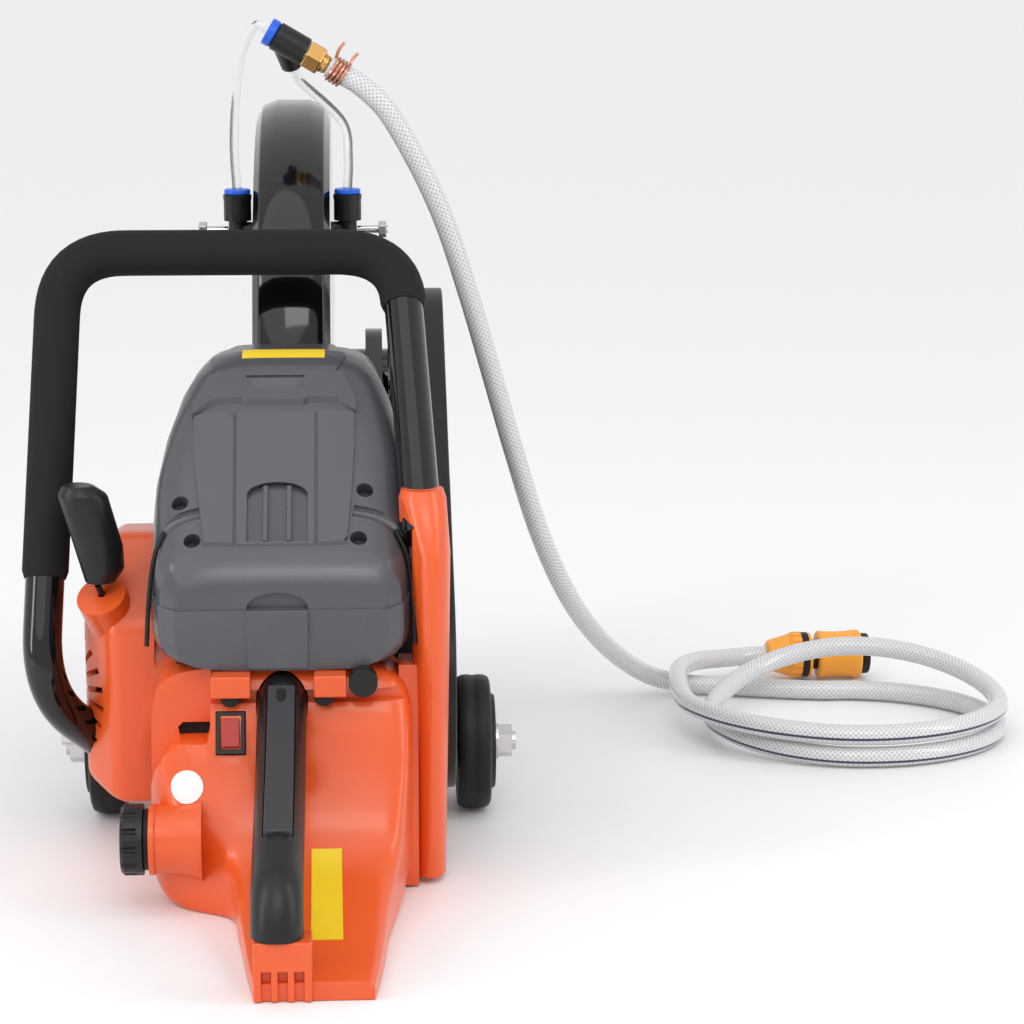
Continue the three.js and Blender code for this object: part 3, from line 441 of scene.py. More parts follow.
# %% [markdown]
# ## The braided hose's finish
# The hose is clear vinyl over a white woven braid, with one dark line along it. Two families of
# lines that wind in opposite directions cross in diamonds. They are worked out on the hose's own
# map, whose first number is the share of a turn and whose second is the distance run in metres.

# %% Braided hose finish
STRANDS_ROUND, STRANDS_PER_METRE = 12, 300
STRIPE_AT, STRIPE_HALF = 0.72, 0.022  # shares of a turn

def braided(name, slot):
    material = finish(name, slot, (0.86, 0.87, 0.89), 0.22, bump=0.0, vary=0.01,
                      Transmission_Weight=0.12, IOR=1.4, Coat_Weight=0.6, Coat_Roughness=0.08)
    nodes, links = material.node_tree.nodes, material.node_tree.links
    shader = nodes["Principled BSDF"]
    run = nodes.new("ShaderNodeUVMap")
    run.uv_map = "along"
    parts = nodes.new("ShaderNodeSeparateXYZ")
    links.new(run.outputs["UV"], parts.inputs["Vector"])

    def maths(kind, a, b=None):
        node = nodes.new("ShaderNodeMath")
        node.operation = kind
        for socket, value in zip(node.inputs, (a, b)):
            if isinstance(value, (int, float)):
                socket.default_value = value
            elif value is not None:
                links.new(value, socket)
        return node.outputs[0]

    turn, along = parts.outputs["X"], parts.outputs["Y"]
    strands = []
    for hand in (1, -1):
        winding = maths("ADD", maths("MULTIPLY", turn, STRANDS_ROUND * hand),
                        maths("MULTIPLY", along, STRANDS_PER_METRE))
        wave = maths("SINE", maths("MULTIPLY", winding, math.pi))
        strands.append(maths("POWER", maths("ABSOLUTE", wave), 3.0))
    weave = maths("MAXIMUM", *strands)
    tint = nodes.new("ShaderNodeMix")
    tint.data_type = "RGBA"
    links.new(weave, tint.inputs["Factor"])
    tint.inputs["A"].default_value = (0.42, 0.43, 0.45, 1)
    tint.inputs["B"].default_value = (0.80, 0.80, 0.81, 1)
    near = maths("LESS_THAN", maths("ABSOLUTE", maths("SUBTRACT", turn, STRIPE_AT)), STRIPE_HALF)
    stripe = nodes.new("ShaderNodeMix")
    stripe.data_type = "RGBA"
    links.new(near, stripe.inputs["Factor"])
    links.new(tint.outputs["Result"], stripe.inputs["A"])
    stripe.inputs["B"].default_value = (0.02, 0.025, 0.08, 1)
    links.new(stripe.outputs["Result"], shader.inputs["Base Color"])
    relief = nodes["Bump"]
    relief.inputs["Strength"].default_value = 0.25
    links.new(weave, relief.inputs["Height"])
    return material

BRAID = braided("braided hose", "braided_hose")

# %% [markdown]
# ## The water hose
# A garden-type hose of 14 mm hangs from the tee on the guard, reaches the floor beside the saw and
# lies there in two loose turns before it meets its connector. It is stiff enough to fall in one
# long sweep, and where turns cross they ride over each other in low humps. The drop is a line of
# chosen points. The turns are worked out by a loop from an oval and from how high each turn lies.

# %% Hose route
TEE_START = at(-10, 345, 498.5)
TEE_ALONG = Vector((0.863, 0, -0.505)).normalized()
HOSE_DIAMETER = 14
EXIT_RUN = 44.3

def on_tee(run):
    return TEE_START + TEE_ALONG * run * MM

HOSE_DROP = [(64, 345.6, 449.5), (81, 347.5, 422), (101, 351, 380), (119, 357, 326), (135, 366, 270),
             (151, 379, 213), (168, 397, 157), (188, 423, 108), (211, 460, 68), (237, 500, 36),
             (263, 528, 15.5), (290, 536, 8), (318, 532, 7.2), (347, 524, 7.2)]
COIL_CENTRE, COIL_REACH, COIL_START = (393, 427), (104, 90), 105
COIL_HEIGHT = [(0, 7.2), (200, 7.2), (285, 13), (385, 40), (475, 23.5), (560, 22.5), (650, 27)]
COIL_SPREAD = [(0, 0), (180, 0), (290, -5), (400, 3), (500, 0), (570, 0), (660, 17)]
HOSE_TAIL = [(279, 508, 27), (296, 544, 23.5), (322, 568, 19.5), (340, 576.5, 18.6), (352, 578.5, 18.5)]

def eased(keys, where):
    for (a, low), (b, high) in zip(keys, keys[1:]):
        if where <= b:
            share = (where - a) / (b - a)
            return low + (high - low) * share * share * (3 - 2 * share)
    return keys[-1][1]

def hose_route():
    points = [on_tee(EXIT_RUN), on_tee(EXIT_RUN + 11), on_tee(EXIT_RUN + 22)]
    points += [at(*p) for p in HOSE_DROP]
    for travelled in range(10, 641, 15):
        angle = math.radians(COIL_START - travelled)
        spread = eased(COIL_SPREAD, travelled)
        x = COIL_CENTRE[0] + (COIL_REACH[0] + spread) * math.cos(angle)
        y = COIL_CENTRE[1] + (COIL_REACH[1] + spread) * math.sin(angle)
        points.append(at(x, y, eased(COIL_HEIGHT, travelled)))
    return even_steps(smooth_line(points + [at(*p) for p in HOSE_TAIL], 12), 0.005)

ROUTE = hose_route()

# %% [markdown]
# ## Hose connector
# A push-fit garden connector: a ribbed nut grips the hose, a black seal shows between the halves,
# and a broad sliding collar releases the plug.

# %% Hose connector
CONNECTOR_START = at(352, 578.5, 18.5)
CONNECTOR_ALONG = Vector((0.999, 0.04, 0)).normalized()
CONNECTOR_PLACE = Matrix.Translation(CONNECTOR_START) @ facing(CONNECTOR_ALONG)

def on_connector(profile, steps=48):
    return turned(profile, CONNECTOR_START, facing(CONNECTOR_ALONG), steps)

nut = on_connector([(0, 0), (9.5, 0), (11.5, 1.5), (15.6, 16), (16.4, 18), (17.4, 19), (17.4, 26),
                    (0, 26)])
grooves = []
for i in range(16):
    groove = cuboid((2.2, 2.2, 30), (17.6, 0, 14))
    round_it = Matrix.Rotation(math.tau * i / 16, 4, "Z")
    bmesh.ops.transform(groove, matrix=CONNECTOR_PLACE @ round_it, verts=groove.verts)
    grooves.append(groove)
connector_nut = piece("connector_nut", carve(nut, *grooves), PLUG, "saw", ["connector_body"],
                      edge=0.5)
seals = [on_connector([(0, 25.5), (16.2, 25.5), (17, 27), (17, 31), (15.5, 32.5), (11, 33),
                       (11, 72), (0, 72)]),
         on_connector([(0, 72), (14.4, 72), (15.3, 73), (15.3, 77), (14.4, 78), (0, 78)])]
connector_seals = piece("connector_seals", together(*seals), RUBBER, "saw", edge=0.3)
neck_ring = on_connector([(11.2, 31), (15.9, 31), (16.6, 31.6), (16.6, 33.2), (15.9, 33.8),
                          (11.2, 33.8), (11.2, 31)])
connector_ring = piece("connector_neck_ring", neck_ring, PLUG, "saw", edge=0.3)
collar = on_connector([(11.4, 38.5), (16.5, 38.5), (18, 40), (17.2, 46), (17, 52), (17.2, 60),
                       (18, 66), (18, 70.2), (16.5, 71.7), (11.4, 71.7), (11.4, 38.5)])
connector_sleeve = piece("connector_sleeve", collar, PLUG, "collar", ["connector_collar"], edge=0.4)

# %% [markdown]
# The hose itself is a ring swept along the route. It hangs from the guard but lies on the floor;
# it belongs to no moving body, so all of it stays still.

# %% Hose
hose = piece("water_hose", swept(ROUTE, HOSE_DIAMETER / 2 * MM, 20, mapped=True), BRAID, None,
             ["supply_hose", "hose_coil"])
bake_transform(hose)
print("hose route points:", len(ROUTE))

# %% [markdown]
# ## Studio
# A pale floor meets a white surround, and three large soft lights stand round the saw: one behind
# the viewer, one on each side. Large lights give the long soft highlights that gloss plastic shows.

# %% Floor, surround and lights
FLOOR_REACH, FLOOR_GAP = 30, 0.0005

def add_floor():
    bm = bmesh.new()
    bmesh.ops.create_grid(bm, x_segments=1, y_segments=1, size=FLOOR_REACH)
    floor = as_object("studio_floor", bm)
    floor.location.z = cad_box[0][2] - FLOOR_GAP
    pale = finish("pale floor", "floor", (0.87, 0.87, 0.88), 0.55, bump=0.0, vary=0.01)
    floor.data.materials.append(pale)

def add_light(name, place, target, size, power):
    data = bpy.data.lights.new(name, "AREA")
    data.shape = "RECTANGLE"
    data.size, data.size_y = size
    data.energy = power
    light = bpy.data.objects.new(name, data)
    light.location = place
    light.rotation_euler = (Vector(target) - Vector(place)).to_track_quat("-Z", "Y").to_euler()
    bpy.context.collection.objects.link(light)

def add_surround(strength):
    world = bpy.data.worlds.new("studio")
    world.use_nodes = True
    world.node_tree.nodes["Background"].inputs["Color"].default_value = (1, 1, 1, 1)
    world.node_tree.nodes["Background"].inputs["Strength"].default_value = strength
    bpy.context.scene.world = world

def add_sky_light(power, lean, turn):
    data = bpy.data.lights.new("ceiling", "SUN")
    data.energy = power
    data.angle = math.radians(70)
    light = bpy.data.objects.new("ceiling", data)
    light.rotation_euler = (math.radians(lean), 0, math.radians(turn))
    bpy.context.collection.objects.link(light)

add_floor()
add_surround(0.80)
add_sky_light(0.75, lean=34, turn=-14)
add_light("behind viewer", (0.25, -1.5, 1.7), (0.05, 0.2, 0.15), (1.2, 0.5), 6)
add_light("left softbox", (-1.5, -0.5, 0.9), (0, 0.2, 0.2), (0.30, 1.5), 9)
add_light("right softbox", (1.6, -0.3, 1.0), (0.1, 0.2, 0.2), (0.30, 1.5), 7)
bpy.context.scene.view_settings.view_transform = "Standard"

# %% [markdown]
# ## Wrap handle
# The front handle is one bent steel tube in gloss black with a matt foam sleeve over its middle.
# The sleeve is a swept ring too, with its ends drawn in where the foam is trimmed.

# %% Wrap handle
HANDLE_CORNERS = [(-112, 196, 62), (-150, 146, 108), (-140, 250, 366), (72, 250, 366),
                  (83, 100, 214)]
SLEEVE_SPAN = (0.19, 0.77)
TUBE_RADIUS, SLEEVE_RADIUS = 12, 14.3
handle_line = even_steps(rounded_corners([at(*p) for p in HANDLE_CORNERS], 40 * MM, 14), 0.005)
piece("wrap_handle_tube", swept(handle_line, TUBE_RADIUS * MM, 32), GLOSS, "saw", ["front_handle"])
first, last = (round(share * (len(handle_line) - 1)) for share in SLEEVE_SPAN)
sleeve_line = handle_line[first:last + 1]

def sleeve_size(share):
    from_end = min(share, 1 - share) * len(sleeve_line) * 5
    return (SLEEVE_RADIUS - 1.6 * max(0, 1 - from_end / 5) ** 2) * MM

piece("foam_sleeve", swept(sleeve_line, sleeve_size, 32), FOAM, "saw", ["handle_sleeve"], edge=0.6)
print("handle tube points:", len(handle_line))

# %% [markdown]
# ## Engine cover
# The grey cover is a drafted shell that narrows upward. It is skinned from rounded boxes, and
# straight blending between the chosen stations gives the in-between ones.
# Raised panels follow it: each is an outline sliced into a grid, laid on the skin by the same
# formula that made the skin, and given thickness, so its edge stands at one height all round.

# %% Cover skin
COVER_POWER = 4.5
COVER_STATIONS = [
    (80, (-62, 60), (139.3, 190)), (86, (-72, 70), (139.3, 204)), (100, (-77, 75), (139.3, 216)),
    (136, (-78, 76), (139.3, 250)), (146, (-77, 76), (166, 259)), (170, (-73, 73), (168, 281)),
    (196, (-66, 68), (172, 300)), (214, (-60, 63), (186, 307)), (240, (-54, 59), (215, 308)),
    (250, (-48, 54), (228, 302)),
]

def station_at(stations, y):
    for (y0, xa, za), (y1, xb, zb) in zip(stations, stations[1:]):
        if y <= y1:
            share = (y - y0) / (y1 - y0)
            mixed = [[a + (b - a) * share for a, b in zip(p, q)] for p, q in ((xa, xb), (za, zb))]
            return y, *mixed
    return stations[-1]

def top_of(station, x, power):
    """How high the top of a skinned box stands at x."""
    _, (x0, x1), (z0, z1) = station
    across = min(0.999, abs((2 * x - x0 - x1) / (x1 - x0)))
    return (z0 + z1) / 2 + (z1 - z0) / 2 * (1 - across**power) ** (1 / power)

def skin_height(x, y):
    return top_of(station_at(COVER_STATIONS, y), x, COVER_POWER)

def laid_panel(outline, height_at, cuts, sink, push):
    """An (x, y) outline in millimetres cut into strips, laid under a skin and pushed out of it."""
    bm = bmesh.new()
    bm.faces.new([bm.verts.new((x, y, 0)) for x, y in outline])
    for axis, place in cuts:
        across = Vector([float(i == axis) for i in range(3)])
        bmesh.ops.bisect_plane(bm, geom=bm.verts[:] + bm.edges[:] + bm.faces[:],
                               plane_co=across * place, plane_no=across)
    for vert in bm.verts:
        vert.co.z = height_at(vert.co.x, vert.co.y) - sink
    made = bmesh.ops.extrude_face_region(bm, geom=bm.faces[:])["geom"]
    top = [g for g in made if isinstance(g, bmesh.types.BMVert)]
    bmesh.ops.translate(bm, vec=push, verts=top)
    bmesh.ops.scale(bm, vec=(MM, MM, MM), verts=bm.verts)
    bmesh.ops.recalc_face_normals(bm, faces=bm.faces)
    return bm

def raised_panel(outline, rise, sink=2.5, strip=5):
    """A panel that follows the cover and stands proud of it."""
    cuts = []
    for axis in (0, 1):
        low, high = min(p[axis] for p in outline), max(p[axis] for p in outline)
        first_cut = math.ceil(low / strip) * strip
        count = math.ceil((high - first_cut) / strip)
        cuts += [(axis, first_cut + i * strip) for i in range(count)]
    return laid_panel(outline, skin_height, cuts, sink, (0, 0, rise + sink))

# %% Wells and recesses in the cover
SLOPE = math.atan2(282 - 216, 170 - 100)

def on_slope(x, y, lift=0.0):
    """A place on the cover's rear slope whose Z stands out from it and whose Y runs up it."""
    return Matrix.Translation(at(x, y, skin_height(x, y) + lift)) @ Matrix.Rotation(SLOPE, 4, "X")

def well(x, y, radius=6.0, depth=9.0):
    profile = [(0, -depth), (radius - 1, -depth), (radius, 6), (0, 6)]
    return turned(profile, at(x, y, skin_height(x, y)), Matrix.Rotation(SLOPE, 4, "X"), 28)

def flat_arch(half, low, high, sag=0.5):
    """An opening with a flat foot and a low round top."""
    shoulder = high - half * sag
    return [(-half, low), (half, low), *[(x, shoulder + y * sag) for x, y in arc(half, 0, 180, 12)]]

SCREW_WELLS = [(-61, 121), (-53, 99), (49, 125), (45, 99)]
ARCH = (-3, 112)
VENT = [(-6, -1.2), (6, -1.2), (6, 1.2), (-6, 1.2)]

def arch_recess():
    return prism(flat_arch(18, -19, 24), 14, on_slope(*ARCH, -3.5))

def vent_slot():
    return prism(VENT, 14, on_slope(-2, 195, -6))

COVER_ROWS = (80, 82, 86, 92, 100, 110, 120, 130, 136, 146, 158, 170, 183, 196, 205, 214, 227,
              240, 246, 250)
cover = skinned([station_at(COVER_STATIONS, y) for y in COVER_ROWS], COVER_POWER, 96)
CHANNELS = {"left": [(-47, 113), (-60, 112), (-70, 108, 219), (-76, 101, 202), (-78, 96, 180)],
            "right": [(42, 113), (56, 112), (67, 108, 219), (74, 101, 202), (76, 96, 180)]}

def channel(points):
    """A rounded groove that crosses the slope and then runs down the cover's side."""
    spots = [at(*p) if len(p) == 3 else at(*p, skin_height(*p) + 1) for p in points]
    return swept(even_steps(smooth_line(spots), 0.004), 4.2 * MM, 16)

tab_recess = prism(flat_arch(18, 0, 10), 12, facing_rear(-3, 84, 176))
cover = carve(cover, arch_recess(), vent_slot(), tab_recess)
cover = carve(cover, *[channel(points) for points in CHANNELS.values()])
cover = carve(cover, *[well(x, y, 5.5) for x, y in SCREW_WELLS])
piece("engine_cover_shell", cover, COVER, "saw", ["top_cover"], edge=0.7)

# %% Panels on the cover
CENTRE = [(-27, 94), (19, 94), (19, 166), (-28, 166)]
LEFT_LOBE = [(-46, 95), (-29, 94), (-30, 166), (-54, 166), (-54, 147), (-50, 120)]
RIGHT_LOBE = [(21, 94), (38, 95), (41, 120), (43, 147), (43, 166), (21, 166)]
STEP = [(-55, 167), (-43, 173), (-25, 173), (-22, 171), (12, 171), (15, 173), (34, 173), (44, 167),
        (44, 174), (36, 191), (-46, 191), (-55, 174)]
INSET = [(-19, 179), (9, 179), (13, 189), (-23, 189)]
ROOF = [(-42, 194), (32, 194), (38, 212), (30, 240), (-30, 240), (-46, 212)]
inset = prism([(x + 5, (y - 184) * 1.25) for x, y in INSET], 14, on_slope(-5, 184, 1.4))
panels = {
    "centre": carve(raised_panel(CENTRE, 1.8), arch_recess()),
    "left_lobe": raised_panel(LEFT_LOBE, 2.6),
    "right_lobe": raised_panel(RIGHT_LOBE, 2.6),
    "step": carve(raised_panel(STEP, 4.0), inset),
    "roof": carve(raised_panel(ROOF, 1.4), vent_slot()),
}
for name, panel in panels.items():
    piece(f"cover_panel_{name}", panel, COVER, "saw", edge=1.1)
ribs = [prism([(-1.5, -19), (1.5, -19), (1.5, 21), (-1.5, 21)], 5.5, on_slope(x, ARCH[1], -4.0))
        for x in (-10, 4)]
piece("cover_arch_ribs", together(*ribs), COVER, "saw", edge=0.6)
print("cover panels:", ", ".join(panels))

# %% [markdown]
# A lower band goes round the foot of the cover. It is the same skin grown by about a millimetre and
# cut off by a sloping plane, so the seam falls towards the middle of the rear face as on a real
# two-part hood. A flat tab closes its middle below the finger recess.

# %% Lower band, painted gap shade and label
def grown(stations, by):
    return [(y - (by if y < 84 else 0), (x0 - by, x1 + by), z) for y, (x0, x1), z in stations]

def lower_band():
    rows = [station_at(COVER_STATIONS, y) for y in (80, 82, 86, 92, 100, 110, 120, 130, 136)]
    band = skinned(grown(rows, 1.3), COVER_POWER, 96)
    geometry = band.verts[:] + band.edges[:] + band.faces[:]
    bmesh.ops.bisect_plane(band, geom=geometry, plane_co=at(0, 80, 176), plane_no=(0, -0.25, 1),
                           clear_outer=True)
    close_ends(band)
    return band

piece("cover_lower_band", lower_band(), COVER, "saw", edge=0.8)
TAB = [(-18, 0), (18, 0), (18, 35.5), (-18, 35.5)]
tab = prism(TAB, 3.5, facing_rear(-3, 80.4, 140.4))
piece("cover_rear_tab", tab, COVER, "saw", edge=0.8)
# Thin black cords in the side grooves are painted shade for the dark gap at the cover's edge.
GAP_SHADE_CORDS = {"left": [(-70, 109, 217), (-75.5, 102, 203), (-79, 97, 178), (-80.4, 90, 152)],
         "right": [(67, 109, 217), (73.5, 102, 203), (76.6, 97, 178), (77.8, 90, 152)]}
for side, points in GAP_SHADE_CORDS.items():
    line = even_steps(smooth_line([at(*p) for p in points]), 0.003)
    piece(f"cover_gap_shade_{side}", swept(line, 1.5 * MM, 12), RUBBER, "saw")
label = [(-26, 207), (25, 207), (25, 220), (-26, 220)]
piece("cover_top_label", raised_panel(label, 1.75, 1.2), YELLOW, "saw")
print("painted gap shade beside the cover:", ", ".join(GAP_SHADE_CORDS))

# %% [markdown]
# ## Rear housing
# The orange moulding holds the fuel. It stands behind the engine as a tall box and runs back under
# the hand grip as a flat tail. It is skinned like the cover, and the rooms for the grip, switch and
# choke are cut out of it with the same solids that fill them, grown a little.

# %% Tank skin
TANK_STATIONS = [
    (-97, (-14, 52), (-5, 10)), (-60, (-19, 56), (-5, 14)), (0, (-26, 61), (-5, 26)),
    (40, (-34, 67), (-5, 44)), (60, (-66, 71), (-5, 78)), (76, (-78, 74), (-5, 122)),
    (90, (-79, 76), (-5, 139)), (136, (-79, 76), (-5, 139)),
]
TANK_POWER = 6
GRIP_X, GRIP_RADIUS = -1, 14.5
GRIP_LINE = [(102, 122), (80, 121), (55, 108), (30, 95), (0, 82), (-50, 65), (-78, 53), (-87, 38),
             (-89, 20)]
grip_line = even_steps(smooth_line([at(GRIP_X, y, z) for y, z in GRIP_LINE]), 0.005)
CAP_LOW, CAP_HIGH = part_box("fuel_cap")
CAP_CENTRE = (Vector(CAP_LOW) + Vector(CAP_HIGH)) / 2 / MM
CAP_RADIUS = (CAP_HIGH[2] - CAP_LOW[2]) / 2 / MM

def tank_at(y):
    """The tank's station at y, read off a smooth curve through the chosen ones."""
    chosen = TANK_STATIONS
    place = max(i for i, station in enumerate(chosen[:-1]) if station[0] <= y or i == 0)
    before, after = chosen[max(place - 1, 0)], chosen[min(place + 2, len(chosen) - 1)]
    (y0, xa, za), (y1, xb, zb) = chosen[place], chosen[place + 1]
    share = (y - y0) / (y1 - y0)

    def eased_value(a, b, back, ahead):
        leave = (b - back) / (y1 - before[0]) * (y1 - y0)
        arrive = (ahead - a) / (after[0] - y0) * (y1 - y0)
        return between(a, b, leave, arrive, share)

    pairs = zip((xa, za), (xb, zb), before[1:], after[1:])
    return y, *[[eased_value(*numbers) for numbers in zip(*group)] for group in pairs]

def level_cut(outline, y0, y1):
    """A cutter for an outline drawn as (x, z), reaching from y0 forward to y1."""
    return prism(outline, y1 - y0, facing_rear(0, y1, 0))

def level_block(outline, y0, y1):
    """The same outline, drawn a little small, as a filling for its slot."""
    middle = [sum(values) / len(outline) for values in zip(*outline)]
    small = [tuple(m + (p - m) * 0.96 for p, m in zip(point, middle)) for point in outline]
    return level_cut(small, y0, y1)

def round_bar(start, end, radius, sides=32):
    return swept([at(*start), at(*end)], radius * MM, sides)

TANK_ROWS = (-97, -94, -88, -80, -70, -60, -45, -30, -15, 0, 10, 20, 27, 33, 38, 43, 48, 53, 58,
             63, 68, 73, 78, 83, 87, 90, 110, 136)
housing = skinned([tank_at(y) for y in TANK_ROWS], TANK_POWER, 96)
neck_place = (CAP_CENTRE.y, CAP_CENTRE.z)
neck = turned([(0, -79), (CAP_RADIUS, -79), (CAP_RADIUS, -76), (CAP_RADIUS - 1, -75),
               (CAP_RADIUS - 0.6, -68), (CAP_RADIUS, -61), (CAP_RADIUS + 2, -54),
               (CAP_RADIUS + 4, -48), (0, -48)],
              at(0, *neck_place), "X", 64)
housing = carve(housing, block((-200, -200, -20), (200, 300, 0)))
housing = fuse(housing, block((-45, 120, 0), (66, 235, 44)), neck)
housing = fuse(housing, block((68, 94, 1), (79.5, 122, 138)))

# %% Rooms in the housing
shoulder = [(-43, 145), (-43, 104), *arc(38, 90, 172, 8, (-41, 66)), (-95, 71), (-95, 145)]
under_rim = [(-44, 120.5), (71, 120.5), (71, 127.5), (-44, 127.5)]
side_slot = [(-62, 98), (-46, 98), (-44, 100), (-44, 106), (-60, 106), (-63, 103)]
housing = carve(housing, level_cut(shoulder, 40, 89), level_cut(under_rim, 60, 84))
housing = carve(housing, level_cut(side_slot, 60, 110), swept(grip_line, (GRIP_RADIUS + 0.8) * MM, 32),
                block((-8, 40, 58), (6, 64, 108)))
choke_low, choke_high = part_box("choke_knob")
choke_middle = ((choke_low[0] + choke_high[0]) / 2 / MM, (choke_low[2] + choke_high[2]) / 2 / MM)
housing = carve(housing, round_bar((choke_middle[0], 50, choke_middle[1]),
                                   (choke_middle[0], 78.5, choke_middle[1]), 9.6))
housing = carve(housing, shape_grown("switch_bezel", 0.4))
tank_piece = piece("fuel_tank_housing", housing, ORANGE, "saw", ["rear_housing"], edge=1.6)
# A near-black block inside the side slot, as painted shadow.
piece("housing_slot_shadow", level_block(side_slot, 93, 99), PAINTED_SLOT_SHADOW, "saw")
column = carve(block((-14, -100, 0), (18, -78, 33.6)),
               *[block((x - 2.6, -104, -2), (x + 2.6, -94, 17)) for x in (-7, 2, 11)])
piece("grip_foot_column", column, ORANGE, "saw", edge=1.0)
tabs = [block((-42, 65, 126), (-19, 84, 139)), block((18, 65, 126), (37, 84, 139))]
piece("mount_tabs", together(*tabs), ORANGE, "saw", edge=1.0)
print("neck of the tank: radius", round(CAP_RADIUS - 1, 1), "mm")

# %% Blank labels on the housing
def tank_height(x, y):
    return top_of(tank_at(y), x, TANK_POWER)

def stuck_on(outline, rise=0.5, strip=3, sink=0.6):
    """A thin label that follows the tank's skin."""
    cuts = []
    for axis in (0, 1):
        low, high = min(p[axis] for p in outline), max(p[axis] for p in outline)
        cuts += [(axis, low + i * strip) for i in range(1, int((high - low) / strip))]
    return laid_panel(outline, tank_height, cuts, sink, (0, -rise, rise + sink))

piece("tank_yellow_label", stuck_on([(16.5, -46), (34.5, -46), (33.5, 38), (16, 38)]), YELLOW, "saw")
STICKER = at(-57.2, 58, 75.2)

def laid_on(owner, place, radius, rise=0.4):
    """A thin round label, each point of which is set on the nearest spot of its owner's skin."""
    _, spot, normal, _ = owner.closest_point_on_mesh(place)
    rings = [radius * share for share in (0.8, 0.6, 0.4, 0.2)]
    profile = [(0, -0.6), (radius, -0.6), (radius, rise), *[(ring, rise) for ring in rings],
               (0, rise)]
    bm = turned(profile, at(0, 0, 0), "Z", 48)
    turn = Matrix.Translation(spot) @ facing(normal)
    for vert in bm.verts:
        height = vert.co.z
        _, near, up, _ = owner.closest_point_on_mesh(turn @ Vector((vert.co.x, vert.co.y, 0)))
        vert.co = near + up * height
    return bm

piece("tank_round_label", laid_on(tank_piece, STICKER, 9.8), WHITE, "saw")

# %% [markdown]
# ## Rear grip
# The grip is a bent bar that leaves the housing, arches over the tail and comes down on the column
# at its end. It is swept along its middle line with its last stretch drawn in, as a moulded end is.
# The lockout bar lies in a slot along its back, and the trigger swings up into a slot underneath.

# %% Rear grip
def grip_size(share):
    return (GRIP_RADIUS - 1.4 * max(0, (share - 0.93) / 0.07) ** 2) * MM

def turned_about(node, place, degrees):
    bm = shape_grown(node, 0.8)
    turn = Matrix.Translation(at(*place)) @ Matrix.Rotation(math.radians(degrees), 4, "X")
    bmesh.ops.transform(bm, matrix=turn @ Matrix.Translation(-at(*place)), verts=bm.verts)
    return bm

grip = swept(grip_line, grip_size, 40)
grip = carve(grip, block((-40, -130, -10), (40, -60, 34)), block((-6.5, 24, 60), (4.5, 64, 106)))
for degrees in (0, -2.3, 2.3):
    grip = carve(grip, turned_about("throttle_lockout", (-1, 68, 127), degrees))
piece("rear_grip_moulding", grip, BLACK, "saw", ["rear_grip"], edge=0.8)
print("grip line points:", len(grip_line))

# %% [markdown]
# ## Starter casing
# The casing on the left is skinned from two outlines: the one next to the engine and the smaller
# one outside. Wide bevels soften its facets. Two rings of louvres let the flywheel draw its air.

# %% Starter casing
STARTER_INNER = [(148, 38), (148, 150), (190, 200), (240, 196), (262, 110), (240, 38)]
STARTER_OUTER = [(178, 48), (176, 148), (204, 166), (238, 152), (246, 84), (220, 44)]
CRANK_PLACE, AXLE_PLACE = (205, 100), (262, 43.5)

def outline_ring(bm, x, outline):
    verts = [bm.verts.new(at(x, y, z)) for y, z in outline]
    return [bm.edges.new(pair) for pair in zip(verts, verts[1:] + verts[:1])]

def starter_casing():
    bm = bmesh.new()
    rings = [outline_ring(bm, x, outline) for x, outline in
             ((-80, STARTER_INNER), (-106, STARTER_INNER), (-125, STARTER_OUTER))]
    for a, b in zip(rings, rings[1:]):
        bmesh.ops.bridge_loops(bm, edges=a + b)
    close_ends(bm)
    bmesh.ops.recalc_face_normals(bm, faces=bm.faces)
    outside = [e for e in bm.edges if min(v.co.x for v in e.verts) < -0.1]
    bmesh.ops.bevel(bm, geom=outside, offset=6 * MM, offset_type="OFFSET", segments=4, profile=0.5,
                    affect="EDGES", material=-1, clamp_overlap=True)
    return bm

def along_x(x0, x1, place, radius, sides=48):
    return round_bar((x0, *place), (x1, *place), radius, sides)

def louvre(turn, radius, length, width):
    bm = cuboid((26, length, width), (0, radius, 0))
    bmesh.ops.rotate(bm, matrix=Matrix.Rotation(turn, 3, "X"), verts=bm.verts)
    bmesh.ops.translate(bm, vec=at(-121, *CRANK_PLACE), verts=bm.verts)
    return bm

casing = fuse(starter_casing(), along_x(-81, -57, CRANK_PLACE, 62, 64),
              round_bar((-102, 180, 136), (-112, 156, 168), 15.5, 40))
fan_room = turned([(0, 50), (55.5, 50), (55.5, 96), (46, 109), (37, 115), (30, 119), (0, 119)],
                  at(0, *CRANK_PLACE), Matrix.Rotation(-math.pi / 2, 4, "Y"))
louvres = [louvre(math.tau * i / 18 + 0.17, 21, 13, 3.2) for i in range(18)]
louvres += [louvre(math.tau * i / 24 + 0.1, 39, 16, 3.6) for i in range(24)]
casing = carve(casing, fan_room, along_x(-140, -103, AXLE_PLACE, 47.5),
               along_x(-140, -50, AXLE_PLACE, 10))
casing = carve(casing, together(*louvres))
casing = fuse(casing, along_x(-122, -86, CRANK_PLACE, 5))
casing = carve(casing, round_bar((-98.2, 188.7, 122.7), (-115.2, 148.5, 180.7), 2.6, 16),
               swept(handle_line, (TUBE_RADIUS + 0.4) * MM, 32))
piece("starter_casing", casing, ORANGE, "saw", ["starter_housing"], edge=0.5)
print("louvres in the starter casing:", len(louvres))

# %% [markdown]
# ## Water kit
# Two clear lines leave the push-in nozzles beside the guard and meet at a tee, whose barb takes the
# hose. Push-in fittings have a blue release ring. The lines are swept through a few soft points.

# %% Water kit
NOZZLES = {"left": -32.5, "right": 39.5}
BRANCH_ALONG = Vector((0.3, 0.55, -0.78)).normalized()

def on_branch(run):
    return on_tee(9) + BRANCH_ALONG * run * MM

